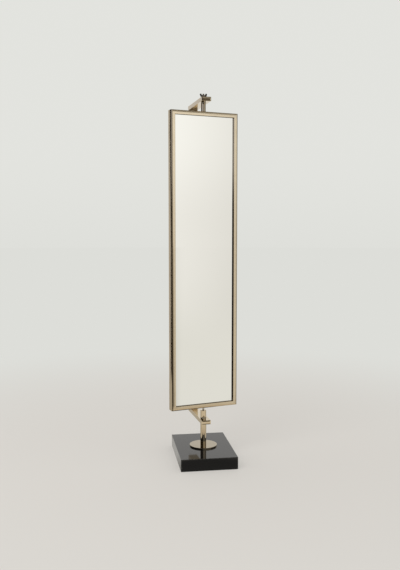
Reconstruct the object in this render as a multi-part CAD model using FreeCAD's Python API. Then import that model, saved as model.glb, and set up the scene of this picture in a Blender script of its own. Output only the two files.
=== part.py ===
import FreeCAD, Part
import math
import os

from FreeCAD import Vector

# Floor-standing dressing mirror. A black lacquered block carries a round post, the post carries
# a C-shaped bracket of rectangular tube, and the bracket holds a tall mirror between two pivots.
# Millimetres, +Z up. The origin is on the floor, on the post's axis, at the middle of the block.

# ---------------------------------------------------------------- how the parts stand at rest
bracket_turn = 6.0            # degrees that the bracket is turned on the post, to the left
mirror_turn = 14.0            # degrees that the mirror is turned from square with the block

# ---------------------------------------------------------------- fits and clearances
fit = 0.05                    # radial room between a shaft, plug or bush and its hole
turn_gap = 0.3                # room between flat faces that turn on each other
edge_room = 0.5               # room round boards and keys that drop into a casing

# ---------------------------------------------------------------- black block
base_width = 284.0            # X
base_depth = 416.0            # Y
base_height = 62.0            # floor to top face
base_edge = 1.0               # rounding of the outer edges
shell_wall = 14.0
shell_top = 16.0
felt_thickness = 2.0
felt_inset = 3.0              # felt stands back from the block's sides
panel_thickness = 6.0
batten_width = 16.0
ballast_thickness = 20.0
ballast_side_gap = 2.0        # to the battens
ballast_end_gap = 13.0        # to the block's front and back walls

panel_screw_diameter = 4.0
panel_screw_head = 8.0
panel_screw_length = 18.0
panel_screws_per_side = 3
ballast_screw_diameter = 6.0
ballast_screw_head = 13.0
ballast_screw_head_height = 4.0
ballast_screw_bite = 11.0     # length in the block's top
ballast_screw_inset = 30.0    # from the slab's edges

# ---------------------------------------------------------------- disc and post
disc_diameter = 141.0
disc_thickness = 7.0
disc_edge = 0.8
post_seat_depth = 3.0         # the post stands in a seat in the disc
post_diameter = 31.0
post_wall = 2.0
lower_plug_length = 40.0
upper_plug_length = 45.0
tie_rod_diameter = 12.0
tie_rod_bite = 34.0           # length screwed into the lower plug
tie_rod_tail = 1.0            # length below the nut
tie_nut_height = 10.0
tie_nut_flats = 19.0
tie_washer_diameter = 30.0
tie_washer_thickness = 2.5

# ---------------------------------------------------------------- bracket of rectangular tube
bar_width = 48.0              # across the bracket
bar_height = 21.0             # in the plane of the bracket
bar_wall = 2.0
bar_edge = 1.2                # rounding of the tube's long edges
lower_arm_level = 188.5       # floor to the lower arm's underside
arm_front = 60.0              # axis to the arms' front ends
bracket_reach = 230.0         # axis to the upright's back face
end_plate = 3.0
cap_edge = 1.0                # rounding of the arms' front ends
end_plug_depth = 12.0
bracket_key_leg = 60.0

spindle_diameter = 16.0
spindle_bite = 22.0           # length inside the collar
lower_bush_wall = 4.0
swivel_washer_thickness = 1.0

# ---------------------------------------------------------------- collar and lower pivot
collar_diameter = 30.0
collar_height = 39.0
collar_edge = 1.0
pivot_diameter = 10.0
pivot_bite = 13.0             # length screwed into the collar
pivot_gap = 15.0              # collar top to the frame's underside

# ---------------------------------------------------------------- mirror frame
frame_width = 360.0
frame_height = 1500.0
frame_depth = 48.0
rail_face = 21.0              # width of the frame seen from the front
rail_wall = 2.0
rail_edge = 4.5               # rounding of the frame's outer edges
rail_lip_edge = 1.0           # rounding beside the glass
groove_depth = 8.0
frame_key_leg = 46.0

glass_thickness = 4.0
core_thickness = 18.0
glass_bite = 6.0              # length of glass edge inside the groove
seal_lip = 0.75
seal_web = 1.5
seal_setback = 0.2            # lips stand back from the rails' inner faces
seal_room = 0.1               # between the seals and the glass
seal_end_gap = 0.1            # the strips' mitred ends stand back from each other

# ---------------------------------------------------------------- pivots inside the frame
pivot_block_length = 60.0
pivot_boss_wall = 2.5
pivot_floor = 2.0             # metal left above the lower pivot
block_screw_diameter = 5.0
block_screw_head = 9.0
block_screw_length = 9.0
block_screw_offset = 20.0

# ---------------------------------------------------------------- upper pivot and wing nut
spacer_diameter = 24.0
spacer_gap = 44.5             # frame's top to the upper arm's underside
spacer_washer_thickness = 1.0
stud_diameter = 10.0
stud_tip_chamfer = 1.0
upper_bush_wall = 3.0
clamp_washer_diameter = 24.0
clamp_washer_thickness = 2.0
clamp_washer_room = 0.3
nut_lift = 0.3                # wing nut above its washer
nut_hub_bottom = 20.0
nut_hub_top = 16.0
nut_hub_height = 15.0
nut_height = 22.5
nut_span = 37.0
wing_thickness = 4.0
wing_tip_radius = 4.8
wing_root_radius = 4.0
wing_root_reach = 8.5         # axis to the middle of a wing's root
wing_root_height = 5.0        # underside of the nut to the same middle
stud_above_nut = 6.0          # length above the wing nut's hub

# ---------------------------------------------------------------- levels worked out from the sizes
cavity_width = base_width - 2 * shell_wall
cavity_depth = base_depth - 2 * shell_wall
panel_low = felt_thickness
panel_high = panel_low + panel_thickness
cavity_high = base_height - shell_top
ballast_low = cavity_high - ballast_thickness
tie_washer_low = ballast_low - tie_washer_thickness
tie_nut_low = tie_washer_low - tie_nut_height
disc_high = base_height + disc_thickness
post_low = disc_high - post_seat_depth

bracket_bottom = lower_arm_level
lower_arm_top = bracket_bottom + bar_height
post_high = lower_arm_level - turn_gap - swivel_washer_thickness
collar_low = lower_arm_top + turn_gap + swivel_washer_thickness
collar_high = collar_low + collar_height
frame_bottom = collar_high + pivot_gap
frame_top = frame_bottom + frame_height
frame_middle = (frame_bottom + frame_top) / 2
upper_arm_level = frame_top + spacer_gap
bracket_top = upper_arm_level + bar_height
clamp_washer_low = bracket_top + clamp_washer_room
nut_low = clamp_washer_low + clamp_washer_thickness + nut_lift
stud_high = nut_low + nut_hub_height + stud_above_nut

stack_thickness = 2 * glass_thickness + core_thickness
seal_mouth = stack_thickness + 2 * seal_room
seal_thickness = seal_mouth + 2 * seal_lip
groove_width = seal_thickness + 2 * fit
chamber_depth = rail_face - groove_depth - 2 * rail_wall
block_height = chamber_depth - 2 * fit
glass_edge = rail_face - glass_bite          # from the frame's outer face to the glass's edge
Z = Vector(0, 0, 1)
Y = Vector(0, 1, 0)


# ---------------------------------------------------------------- shapes used more than once
def block(width, depth, low, high, x=0.0, y=0.0):
    """An upright box centred on x, y."""
    return Part.makeBox(width, depth, high - low, Vector(x - width / 2, y - depth / 2, low))


def rod(diameter, low, high, x=0.0, y=0.0):
    """An upright round bar."""
    return Part.makeCylinder(diameter / 2, high - low, Vector(x, y, low))


def ring(outer, inner, low, high):
    """An upright tube or washer on the axis."""
    return rod(outer, low, high).cut(rod(inner, low - 1, high + 1))


def hexagon(flats, low, high):
    """An upright hexagonal bar on the axis."""
    radius = flats / 2 / math.cos(math.pi / 6)
    corners = [Vector(radius * math.cos(math.radians(60 * i)), radius * math.sin(math.radians(60 * i)), low)
               for i in range(7)]
    return Part.Face(Part.makePolygon(corners)).extrude(Vector(0, 0, high - low))


def plate(points, thickness, across):
    """A flat plate: points are its outline in the plane square to the axis across, which it straddles."""
    corners = [point - across * (thickness / 2) for point in points]
    return Part.Face(Part.makePolygon(corners + corners[:1])).extrude(across * thickness)


def rounded(shape, radius, chosen):
    """Rounds the edges for which chosen(edge) is true."""
    return shape.makeFillet(radius, [edge for edge in shape.Edges if chosen(edge)])


def countersunk_screw(diameter, head, length, x, y, face, up):
    """A countersunk screw whose head lies flush in a face, and which points up or down from it."""
    way = 1 if up else -1
    sink = (head - diameter) / 2
    cone = Part.makeCone(head / 2, diameter / 2, sink, Vector(x, y, face), Z * way)
    shank = Part.makeCylinder(diameter / 2, length - sink, Vector(x, y, face + way * sink), Z * way)
    slot = block(head + 1, 1.0, face - 0.8, face + 0.8, x, y)
    return cone.fuse(shank).removeSplitter().cut(slot)


def screw_hole(diameter, head, length, x, y, face, up):
    """The countersunk hole for such a screw."""
    way = 1 if up else -1
    sink = (head - diameter) / 2
    cone = Part.makeCone(head / 2 + fit, diameter / 2 + fit, sink, Vector(x, y, face), Z * way)
    shank = Part.makeCylinder(diameter / 2 + fit, length + 1, Vector(x, y, face), Z * way)
    return cone.fuse(shank)


def save(name, shapes, turn=0.0):
    """Writes one sub-part, turned about the axis to where it stands at rest."""
    shape = shapes[0].copy() if len(shapes) == 1 else Part.makeCompound(shapes)
    if turn:
        shape.rotate(Vector(0, 0, 0), Z, turn)
    shape.exportStep(os.path.join("parts", name + ".step"))


# ---------------------------------------------------------------- black block
def panel_screw_places():
    """Screws through the bottom panel into the battens."""
    x = (cavity_width - batten_width) / 2
    pitch = cavity_depth / panel_screws_per_side
    rows = [(i - (panel_screws_per_side - 1) / 2) * pitch for i in range(panel_screws_per_side)]
    return [(side * x, y) for side in (-1, 1) for y in rows]


def ballast_size():
    """Width and length of the slab."""
    return (cavity_width - 2 * batten_width - 2 * ballast_side_gap, cavity_depth - 2 * ballast_end_gap)


def ballast_screw_places():
    """Screws that hang the slab under the block's top."""
    width, length = ballast_size()
    x = width / 2 - ballast_screw_inset
    y = length / 2 - ballast_screw_inset
    return [(i * x, j * y) for i in (-1, 1) for j in (-1, 1)]


def make_base():
    """The block with its weight, bottom panel and felt."""
    shell = block(base_width, base_depth, panel_low, base_height)
    shell = rounded(shell, base_edge, lambda edge: edge.BoundBox.ZMax > panel_low + 1)
    shell = shell.cut(block(cavity_width, cavity_depth, 0, cavity_high))
    shell = shell.cut(rod(tie_rod_diameter + 2 * fit, cavity_high - 1, base_height + 1))
    batten_middle = (cavity_width - batten_width) / 2
    battens = [block(batten_width, cavity_depth, panel_high, cavity_high, side * batten_middle)
               for side in (-1, 1)]
    width, length = ballast_size()
    slab = block(width, length, ballast_low, cavity_high)
    slab = slab.cut(rod(tie_rod_diameter + 2 * fit, ballast_low - 1, cavity_high + 1))
    hung = []
    for x, y in ballast_screw_places():
        bore = ballast_screw_diameter + 2 * fit
        slab = slab.cut(rod(bore, ballast_low - 1, cavity_high + 1, x, y))
        shell = shell.cut(rod(bore, cavity_high - 1, cavity_high + ballast_screw_bite + fit, x, y))
        head = rod(ballast_screw_head, ballast_low - ballast_screw_head_height, ballast_low, x, y)
        shank = rod(ballast_screw_diameter, ballast_low, cavity_high + ballast_screw_bite, x, y)
        hung.append(head.fuse(shank))
    panel = block(cavity_width - 2 * edge_room, cavity_depth - 2 * edge_room, panel_low, panel_high)
    screws = []
    for x, y in panel_screw_places():
        size = (panel_screw_diameter, panel_screw_head, panel_screw_length, x, y, panel_low, True)
        hole = screw_hole(*size)
        panel = panel.cut(hole)
        battens = [batten.cut(hole) for batten in battens]
        screws.append(countersunk_screw(*size))
    felt = block(base_width - 2 * felt_inset, base_depth - 2 * felt_inset, 0, felt_thickness)
    save("base_shell", [shell])
    save("base_battens", battens)
    save("ballast_slab", [slab])
    save("ballast_screws", hung)
    save("bottom_panel", [panel])
    save("bottom_panel_screws", screws)
    save("felt_pad", [felt])


# ---------------------------------------------------------------- disc, post and swivel
def make_post():
    """The round post, pulled down on its disc by a tie rod through the block."""
    seat = post_diameter + 2 * fit
    disc = rod(disc_diameter, base_height, disc_high)
    disc = rounded(disc, disc_edge, lambda edge: edge.BoundBox.ZMin > disc_high - 0.01)
    disc = disc.cut(rod(seat, post_low, disc_high + 1))
    disc = disc.cut(rod(tie_rod_diameter + 2 * fit, base_height - 1, post_low + 1))
    inside = post_diameter - 2 * post_wall
    plug = inside - 2 * fit
    thread = tie_rod_diameter + 2 * fit
    spindle_high = collar_low + spindle_bite
    upper_plug = rod(plug, post_high - upper_plug_length, post_high)
    upper_plug = upper_plug.fuse(rod(spindle_diameter, post_high, spindle_high)).removeSplitter()
    tie_rod = rod(tie_rod_diameter, tie_nut_low - tie_rod_tail, post_low + tie_rod_bite)
    washer = (post_diameter, spindle_diameter + 2 * fit)
    save("disc_flange", [disc])
    save("post_tube", [ring(post_diameter, inside, post_low, post_high)])
    save("post_lower_plug", [ring(plug, thread, post_low, post_low + lower_plug_length)])
    save("post_upper_plug", [upper_plug])
    save("tie_rod", [tie_rod])
    save("tie_rod_washer", [ring(tie_washer_diameter, thread, tie_washer_low, ballast_low)])
    save("tie_rod_nut", [hexagon(tie_nut_flats, tie_nut_low, tie_washer_low).cut(
        rod(thread, tie_nut_low - 1, tie_washer_low + 1))])
    save("swivel_washers", [ring(*washer, post_high, post_high + swivel_washer_thickness),
                            ring(*washer, collar_low - swivel_washer_thickness, collar_low)])


def make_lower_pivot():
    """The collar that holds the bracket down on the post, and the pin that the mirror stands on."""
    collar = rod(collar_diameter, collar_low, collar_high)
    collar = rounded(collar, collar_edge, lambda edge: edge.BoundBox.ZMin > collar_high - 0.01)
    collar = collar.cut(rod(spindle_diameter + 2 * fit, collar_low - 1, collar_low + spindle_bite + fit))
    collar = collar.cut(rod(pivot_diameter + 2 * fit, collar_high - pivot_bite - fit, collar_high + 1))
    pin_high = frame_bottom + rail_wall + fit + block_height - pivot_floor - fit
    save("pivot_collar", [collar])
    save("pivot_pin", [rod(pivot_diameter, collar_high - pivot_bite, pin_high)])


# ---------------------------------------------------------------- bracket
def bar(outline, hollow):
    """A length of rectangular tube: its outline and its hollow, both in the plane of the bracket."""
    across = Vector(1, 0, 0)
    longer = 2 * bar_height
    body = plate(outline, bar_width, across)
    body = rounded(body, bar_edge, lambda edge: max(edge.BoundBox.YLength, edge.BoundBox.ZLength) > longer)
    return body.cut(plate(hollow, bar_width - 2 * bar_wall, across))


def arm(outer, way):
    """A horizontal arm. outer is its outer face's level, and way is up (1) or down (-1) to the inner one."""
    front = -arm_front + end_plate

    def corner(inset, y):
        return Vector(0, y, outer + way * inset)

    solid = [corner(0, front), corner(0, bracket_reach),
             corner(bar_height, bracket_reach - bar_height), corner(bar_height, front)]
    deep = bar_height - bar_wall
    hollow = [corner(bar_wall, front - 1), corner(bar_wall, bracket_reach - bar_wall),
              corner(deep, bracket_reach - deep), corner(deep, front - 1)]
    return bar(solid, hollow)


def upright():
    """The vertical bar behind the mirror, mitred to both arms."""
    def outline(inset, depth):
        return [Vector(0, bracket_reach - inset, bracket_bottom + inset),
                Vector(0, bracket_reach - inset, bracket_top - inset),
                Vector(0, bracket_reach - depth, bracket_top - depth),
                Vector(0, bracket_reach - depth, bracket_bottom + depth)]
    return bar(outline(0, bar_height), outline(bar_wall, bar_height - bar_wall))


def end_plug(outer, way):
    """The cap that closes an arm's front end, with its spigot in the tube."""
    low, high = sorted((outer, outer + way * bar_height))
    width = bar_width - 2 * (bar_wall + fit)
    cap = block(bar_width, end_plate, low, high, y=-arm_front + end_plate / 2)
    cap = rounded(cap, bar_edge, lambda edge: edge.BoundBox.YLength > end_plate - 0.1)
    cap = rounded(cap, cap_edge, lambda edge: edge.BoundBox.YMax < -arm_front + 0.01)
    spigot = block(width, end_plug_depth, low + bar_wall + fit, high - bar_wall - fit,
                   y=-arm_front + end_plate + end_plug_depth / 2)
    return cap.fuse(spigot)


def bracket_key(outer, way):
    """The angle inside a mitred corner."""
    near = bar_wall + fit
    far = bar_height - near

    def at(depth, level):
        return Vector(0, bracket_reach - depth, outer + way * level)

    outline = [at(near, near), at(bracket_key_leg, near), at(bracket_key_leg, far),
               at(far, far), at(far, bracket_key_leg), at(near, bracket_key_leg)]
    return plate(outline, bar_width - 2 * near, Vector(1, 0, 0))


def make_bracket():
    """Two arms and the upright, with the bushes that the pivots turn in."""
    lower_bush = spindle_diameter + 2 * fit + 2 * lower_bush_wall
    upper_bush = stud_diameter + 2 * fit + 2 * upper_bush_wall
    lower_hole = rod(lower_bush + 2 * fit, bracket_bottom - 1, lower_arm_top + 1)
    upper_hole = rod(upper_bush + 2 * fit, upper_arm_level - 1, bracket_top + 1)
    ends = ((bracket_bottom, 1), (bracket_top, -1))
    save("lower_arm", [arm(bracket_bottom, 1).cut(lower_hole)], bracket_turn)
    save("upper_arm", [arm(bracket_top, -1).cut(upper_hole)], bracket_turn)
    save("rear_upright", [upright()], bracket_turn)
    save("arm_end_plugs", [end_plug(*end) for end in ends], bracket_turn)
    save("bracket_corner_keys", [bracket_key(*end) for end in ends], bracket_turn)
    save("lower_arm_bush", [ring(lower_bush, spindle_diameter + 2 * fit, bracket_bottom, lower_arm_top)],
         bracket_turn)
    save("upper_arm_bush", [ring(upper_bush, stud_diameter + 2 * fit, upper_arm_level, bracket_top)],
         bracket_turn)


# ---------------------------------------------------------------- mirror frame
def side_length(side):
    """Outer length of a rail or stile."""
    return frame_width if side in ("top", "bottom") else frame_height


def on_side(shape, side):
    """Moves a piece built under the level z=0 to one side of the frame, z=0 becoming the outer face."""
    turn = {"top": 0, "right": 90, "bottom": 180, "left": 270}[side]
    reach = (frame_height if side in ("top", "bottom") else frame_width) / 2
    angle = math.radians(turn)
    placed = shape.copy()
    placed.rotate(Vector(0, 0, 0), Y, turn)
    placed.translate(Vector(reach * math.sin(angle), 0, reach * math.cos(angle) + frame_middle))
    return placed


def mitred(length, shallow, deep, depth):
    """A strip along X between two depths under the outer face, mitred at both ends."""
    points = [Vector(-length / 2 + shallow, 0, -shallow), Vector(length / 2 - shallow, 0, -shallow),
              Vector(length / 2 - deep, 0, -deep), Vector(-length / 2 + deep, 0, -deep)]
    return plate(points, depth, Y)


def rail(side):
    """A hollow rail with the groove that holds the glass."""
    length = side_length(side)
    floor = rail_face - groove_depth
    body = mitred(length, 0, rail_face, frame_depth)
    body = rounded(body, rail_edge, lambda edge: edge.BoundBox.XLength > length - 1)
    inner_length = length - 2 * rail_face
    body = rounded(body, rail_lip_edge, lambda edge: abs(edge.BoundBox.XLength - inner_length) < 1)
    body = body.cut(block(length, groove_width, -rail_face - 1, -floor))
    body = body.cut(block(length, frame_depth - 2 * rail_wall, -floor + rail_wall, -rail_wall))
    pocket_near = groove_width / 2 + rail_wall
    pocket_far = frame_depth / 2 - rail_wall
    for way in (-1, 1):
        body = body.cut(block(length, pocket_far - pocket_near, -rail_face + rail_wall, -floor + rail_wall,
                              y=way * (pocket_near + pocket_far) / 2))
    return on_side(body, side)


def seal(side):
    """A soft channel over one edge of the glass."""
    length = side_length(side) - 2 * seal_end_gap
    floor = glass_edge - seal_room
    inner = rail_face - seal_setback
    strip = mitred(length, floor - seal_web, inner, seal_thickness)
    strip = strip.cut(block(length, seal_mouth, -inner - 1, -floor))
    return on_side(strip, side)


def frame_keys():
    """The four angles that join the rails in their rear chamber."""
    near = rail_wall + fit
    far = near + block_height

    def corner(i, j):
        def at(across, along):
            return Vector(i * (frame_width / 2 - across), 0, frame_middle + j * (frame_height / 2 - along))
        outline = [at(near, near), at(frame_key_leg, near), at(frame_key_leg, far),
                   at(far, far), at(far, frame_key_leg), at(near, frame_key_leg)]
        return plate(outline, frame_depth - 2 * (rail_wall + fit), Y)

    return [corner(i, j) for i in (-1, 1) for j in (-1, 1)]


def glass_sheet(low, high):
    """A sheet between two depths, as large as the frame's groove takes."""
    width = frame_width - 2 * glass_edge
    height = frame_height - 2 * glass_edge
    return block(width, high - low, frame_middle - height / 2, frame_middle + height / 2, y=(low + high) / 2)


def make_mirror():
    """Frame, glass and what holds it."""
    depth = frame_depth - 2 * (rail_wall + fit)
    top_low = frame_top - rail_wall - fit - block_height
    bottom_high = frame_bottom + rail_wall + fit + block_height
    boss = pivot_diameter + 2 * fit + 2 * pivot_boss_wall

    top_block = block(pivot_block_length, depth, top_low, frame_top - rail_wall - fit)
    top_block = top_block.cut(rod(stud_diameter + 2 * fit, top_low - 1, frame_top))
    bottom_block = block(pivot_block_length, depth, frame_bottom + rail_wall + fit, bottom_high)
    bottom_block = bottom_block.fuse(rod(boss, frame_bottom, frame_bottom + rail_wall + 1)).removeSplitter()
    pin_hole = rod(pivot_diameter + 2 * fit, frame_bottom - 1, bottom_high - pivot_floor)
    bottom_block = bottom_block.cut(pin_hole)
    top_rail = rail("top").cut(rod(stud_diameter + 2 * fit, frame_top - rail_wall - 1, frame_top + 1))
    bottom_rail = rail("bottom").cut(rod(boss + 2 * fit, frame_bottom - 1, frame_bottom + rail_wall + fit))

    screws = []
    for x in (-block_screw_offset, block_screw_offset):
        size = (block_screw_diameter, block_screw_head, block_screw_length, x, 0)
        top_hole = screw_hole(*size, frame_top, False)
        bottom_hole = screw_hole(*size, frame_bottom, True)
        top_rail = top_rail.cut(top_hole)
        top_block = top_block.cut(top_hole)
        bottom_rail = bottom_rail.cut(bottom_hole)
        bottom_block = bottom_block.cut(bottom_hole)
        screws.append(countersunk_screw(*size, frame_top, False))
        screws.append(countersunk_screw(*size, frame_bottom, True))

    half_core = core_thickness / 2
    half_stack = stack_thickness / 2
    sides = ("top", "right", "bottom", "left")
    save("frame_top_rail", [top_rail], mirror_turn)
    save("frame_bottom_rail", [bottom_rail], mirror_turn)
    save("frame_left_stile", [rail("left")], mirror_turn)
    save("frame_right_stile", [rail("right")], mirror_turn)
    save("frame_corner_keys", frame_keys(), mirror_turn)
    save("mirror_glass_front", [glass_sheet(-half_stack, -half_core)], mirror_turn)
    save("glass_core_board", [glass_sheet(-half_core, half_core)], mirror_turn)
    save("mirror_glass_back", [glass_sheet(half_core, half_stack)], mirror_turn)
    save("glass_seals", [seal(side) for side in sides], mirror_turn)
    save("top_pivot_block", [top_block], mirror_turn)
    save("bottom_pivot_block", [bottom_block], mirror_turn)
    save("pivot_block_screws", screws, mirror_turn)


# ---------------------------------------------------------------- upper pivot and wing nut
def wing(side):
    """One wing: two round ends joined by straight flanks that touch both."""
    root = (wing_root_reach, wing_root_height)
    tip = (nut_span / 2 - wing_tip_radius, nut_height - wing_tip_radius)
    run = (tip[0] - root[0], tip[1] - root[1])
    distance = math.hypot(*run)
    heading = math.atan2(run[1], run[0])
    spread = math.acos((wing_root_radius - wing_tip_radius) / distance)

    def at(centre, radius, angle):
        return Vector(side * (centre[0] + radius * math.cos(angle)), 0,
                      nut_low + centre[1] + radius * math.sin(angle))

    tip_start = at(tip, wing_tip_radius, heading - spread)
    tip_end = at(tip, wing_tip_radius, heading + spread)
    root_start = at(root, wing_root_radius, heading + spread)
    root_end = at(root, wing_root_radius, heading - spread)
    edges = [Part.Arc(tip_start, at(tip, wing_tip_radius, heading), tip_end).toShape(),
             Part.LineSegment(tip_end, root_start).toShape(),
             Part.Arc(root_start, at(root, wing_root_radius, heading + math.pi), root_end).toShape(),
             Part.LineSegment(root_end, tip_start).toShape()]
    face = Part.Face(Part.Wire(edges))
    face.translate(Vector(0, -wing_thickness / 2, 0))
    return face.extrude(Vector(0, wing_thickness, 0))


def make_upper_pivot():
    """The stud in the frame's top, its spacer, and the wing nut that clamps it to the arm."""
    bore = stud_diameter + 2 * fit
    block_low = frame_top - rail_wall - fit - block_height
    washer_high = upper_arm_level - turn_gap
    spacer_high = washer_high - spacer_washer_thickness
    stud = rod(stud_diameter, block_low, stud_high)
    tip = [edge for edge in stud.Edges if edge.BoundBox.ZMin > stud_high - 0.01]
    stud = stud.makeChamfer(stud_tip_chamfer, tip)
    hub = Part.makeCone(nut_hub_bottom / 2, nut_hub_top / 2, nut_hub_height, Vector(0, 0, nut_low))
    nut = hub.fuse([wing(-1), wing(1)]).removeSplitter()
    nut = nut.cut(rod(bore, nut_low - 1, nut_low + nut_height + 1))
    save("top_stud", [stud], mirror_turn)
    save("top_spacer", [ring(spacer_diameter, bore, frame_top, spacer_high)], mirror_turn)
    save("spacer_washer", [ring(spacer_diameter, bore, spacer_high, washer_high)], mirror_turn)
    save("clamp_washer", [ring(clamp_washer_diameter, bore, clamp_washer_low,
                               clamp_washer_low + clamp_washer_thickness)])
    save("wing_nut", [nut])


def main():
    os.makedirs("parts", exist_ok=True)
    make_base()
    make_post()
    make_lower_pivot()
    make_bracket()
    make_mirror()
    make_upper_pivot()


main()
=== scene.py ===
import math

import bmesh
import bpy
from mathutils import Matrix, Vector


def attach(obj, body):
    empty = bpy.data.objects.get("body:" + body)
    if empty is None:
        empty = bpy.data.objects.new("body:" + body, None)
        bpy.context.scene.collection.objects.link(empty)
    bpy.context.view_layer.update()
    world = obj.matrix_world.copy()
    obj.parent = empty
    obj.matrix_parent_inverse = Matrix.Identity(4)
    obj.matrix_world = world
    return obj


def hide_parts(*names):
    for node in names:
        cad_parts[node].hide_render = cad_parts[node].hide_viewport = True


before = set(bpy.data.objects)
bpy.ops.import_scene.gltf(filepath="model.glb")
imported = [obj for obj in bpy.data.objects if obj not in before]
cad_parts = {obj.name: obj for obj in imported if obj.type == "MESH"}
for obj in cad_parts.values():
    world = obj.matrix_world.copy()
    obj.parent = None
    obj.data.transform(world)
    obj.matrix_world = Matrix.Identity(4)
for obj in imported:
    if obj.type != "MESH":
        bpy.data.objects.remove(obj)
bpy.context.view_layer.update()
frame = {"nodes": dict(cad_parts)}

bl_info = {
    "name": "Dressing mirror",
    "version": (1, 0, 0),
    "blender": (4, 5, 0),
    "location": "3D Viewport > Sidebar > Mirror",
    "description": "A tall framed mirror that turns in a bracket on a lacquered block",
    "category": "Add Mesh",
}

# Metres, +Z up, -Y the block's front. The origin is on the floor, on the axis of the post.
MM = 0.001
FIT = 0.05 * MM                # radial room between a shaft and its hole
MERGE = 0.001 * MM             # points closer than this are one point
SHARP = math.radians(32)       # edges that turn further than this stay sharp
BULGE_STEPS = 8                # strips across a side that bulges
DIVIDED = (1e-6, 1e-6)         # bulges that only divide the sides into strips
WASHER_EDGE = 0.25 * MM        # rounding of the nylon washers
TURN_GAP = 0.3 * MM            # between the pieces of a turning joint
THROUGH = 1.0 * MM             # how far a cutter goes past the piece
CORNER_STEPS = 5               # steps round the edges of the tubes and rails
WEAR_REACH = 1.5 * MM          # how far beside those edges wear can show
DISC_FLATS, RING_FLATS, SMALL_FLATS, PIN_FLATS = 160, 96, 64, 48      # flats round turned pieces
UPRIGHT = Matrix.Identity(4)   # sections lie level and bars rise
LEVEL_SIDES = ("top", "bottom")


# ---------------------------------------------------------------- reading the CAD frame
def points_of(node, turn=0.0):
    """A CAD node's points in the axes of its piece, which is turned about Z by an angle."""
    back = Matrix.Rotation(-turn, 3, "Z")
    return [back @ vertex.co for vertex in frame["nodes"][node].data.vertices]


def square_box(node, turn=0.0):
    """Lowest and highest corner of a node in the axes of its piece."""
    points = points_of(node, turn)
    low = Vector(min(point[i] for point in points) for i in range(3))
    high = Vector(max(point[i] for point in points) for i in range(3))
    return low, high


def radii(node):
    """The smallest and the largest distance of a node's points from the axis of the post."""
    distances = [math.hypot(point.x, point.y) for point in points_of(node)]
    return min(distances), max(distances)


def turn_of(node):
    """How far a straight-sided node is turned about Z, between -45 and 45 degrees."""
    points = {(round(point.x, 6), round(point.y, 6)) for point in points_of(node)}
    mid_x = sum(x for x, y in points) / len(points)
    mid_y = sum(y for x, y in points) / len(points)
    xx = sum((x - mid_x) ** 2 for x, y in points)
    yy = sum((y - mid_y) ** 2 for x, y in points)
    xy = sum((x - mid_x) * (y - mid_y) for x, y in points)
    quarter = math.pi / 2
    return (math.atan2(2 * xy, xx - yy) / 2 + quarter / 2) % quarter - quarter / 2


BRACKET_TURN = turn_of("bracket_corner_keys")
MIRROR_TURN = turn_of("mirror_glass_front")


# ---------------------------------------------------------------- outlines and skins
def outline(corners, steps=4, margin=0.0, cut=0.0):
    """A closed outline of points (x, y, wear), moved inwards by cut. A corner (x, y, radius) becomes an
    arc, and margin sets a further point on each side of it, so that wear stays at the corner. A fourth
    value bulges the side that leads on from the corner."""
    count = len(corners)
    places = [Vector(corner[:2]) for corner in corners]
    doubled = sum(places[i - 1].cross(places[i]) for i in range(count))
    inward = 1 if doubled > 0 else -1
    ways = [(places[(i + 1) % count] - places[i]).normalized() for i in range(count)]
    sides = []
    for i in range(count):
        arrive, leave = ways[i - 1], ways[i]
        first = Vector((-arrive.y, arrive.x)) * inward
        second = Vector((-leave.y, leave.x)) * inward
        corner = places[i] + (first + second) * cut / (1 + first.dot(second))
        convex = arrive.cross(leave) * inward > 0
        radius = corners[i][2]
        if radius <= 0:
            sides.append([(*corner, 0.0)])
            continue
        radius = max(radius - cut, 0.0) if convex else radius + cut
        bend = arrive.angle_signed(leave)
        tangent = radius * math.tan(abs(bend) / 2)
        towards = (leave - arrive).normalized()
        centre = corner + towards * radius / math.cos(bend / 2)
        spoke = corner - arrive * tangent - centre
        side = []
        for step in range(steps + 1):
            turned_spoke = spoke.copy()
            turned_spoke.rotate(Matrix.Rotation(-bend * step / steps, 2))
            side.append((*(centre + turned_spoke), 1.0))
        if margin:
            side.insert(0, (*(corner - arrive * (tangent + margin)), 0.0))
            side.append((*(corner + leave * (tangent + margin)), 0.0))
        sides.append(side)
    points = []
    for i, side in enumerate(sides):
        points += side
        if len(corners[i]) > 3:
            start, end = Vector(side[-1][:2]), Vector(sides[(i + 1) % count][0][:2])
            outward = Vector((ways[i].y, -ways[i].x)) * inward
            for share in (step / BULGE_STEPS for step in range(1, BULGE_STEPS)):
                bulge = outward * corners[i][3] * 4 * share * (1 - share)
                points.append((*(start.lerp(end, share) + bulge), 0.0))
    return points


def section(corners, steps=4, margin=0.0):
    """An outline that is yet to be moved inwards: a function of the distance."""
    return lambda cut=0.0: outline(corners, steps, margin, cut)


def rectangle(width, height, radius, steps=4, margin=0.0, bulge=(0.0, 0.0)):
    """A rounded rectangle about the origin. Its sides along the width and the height may bulge."""
    x, y = width / 2 - bulge[1], height / 2 - bulge[0]
    corners = [(-x, -y, radius, bulge[0]), (x, -y, radius, bulge[1]), (x, y, radius, bulge[0]),
               (-x, y, radius, bulge[1])]
    if not any(bulge):
        corners = [corner[:3] for corner in corners]
    return section(corners, steps, margin)


def rim(radius, steps=3, margin=0.0):
    """Steps (cut, setback, wear) round the edge of an end, from its face to its side."""
    if radius <= 0:
        return [(0.0, 0.0, 0.0)]
    steps_round = [(radius * (1 - math.sin(angle)), radius * (1 - math.cos(angle)), 1.0)
                   for angle in (math.pi / 2 * i / steps for i in range(steps + 1))]
    if not margin:
        return steps_round
    return [(radius + margin, 0.0, 0.0)] + steps_round + [(0.0, radius + margin, 0.0)]


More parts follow.
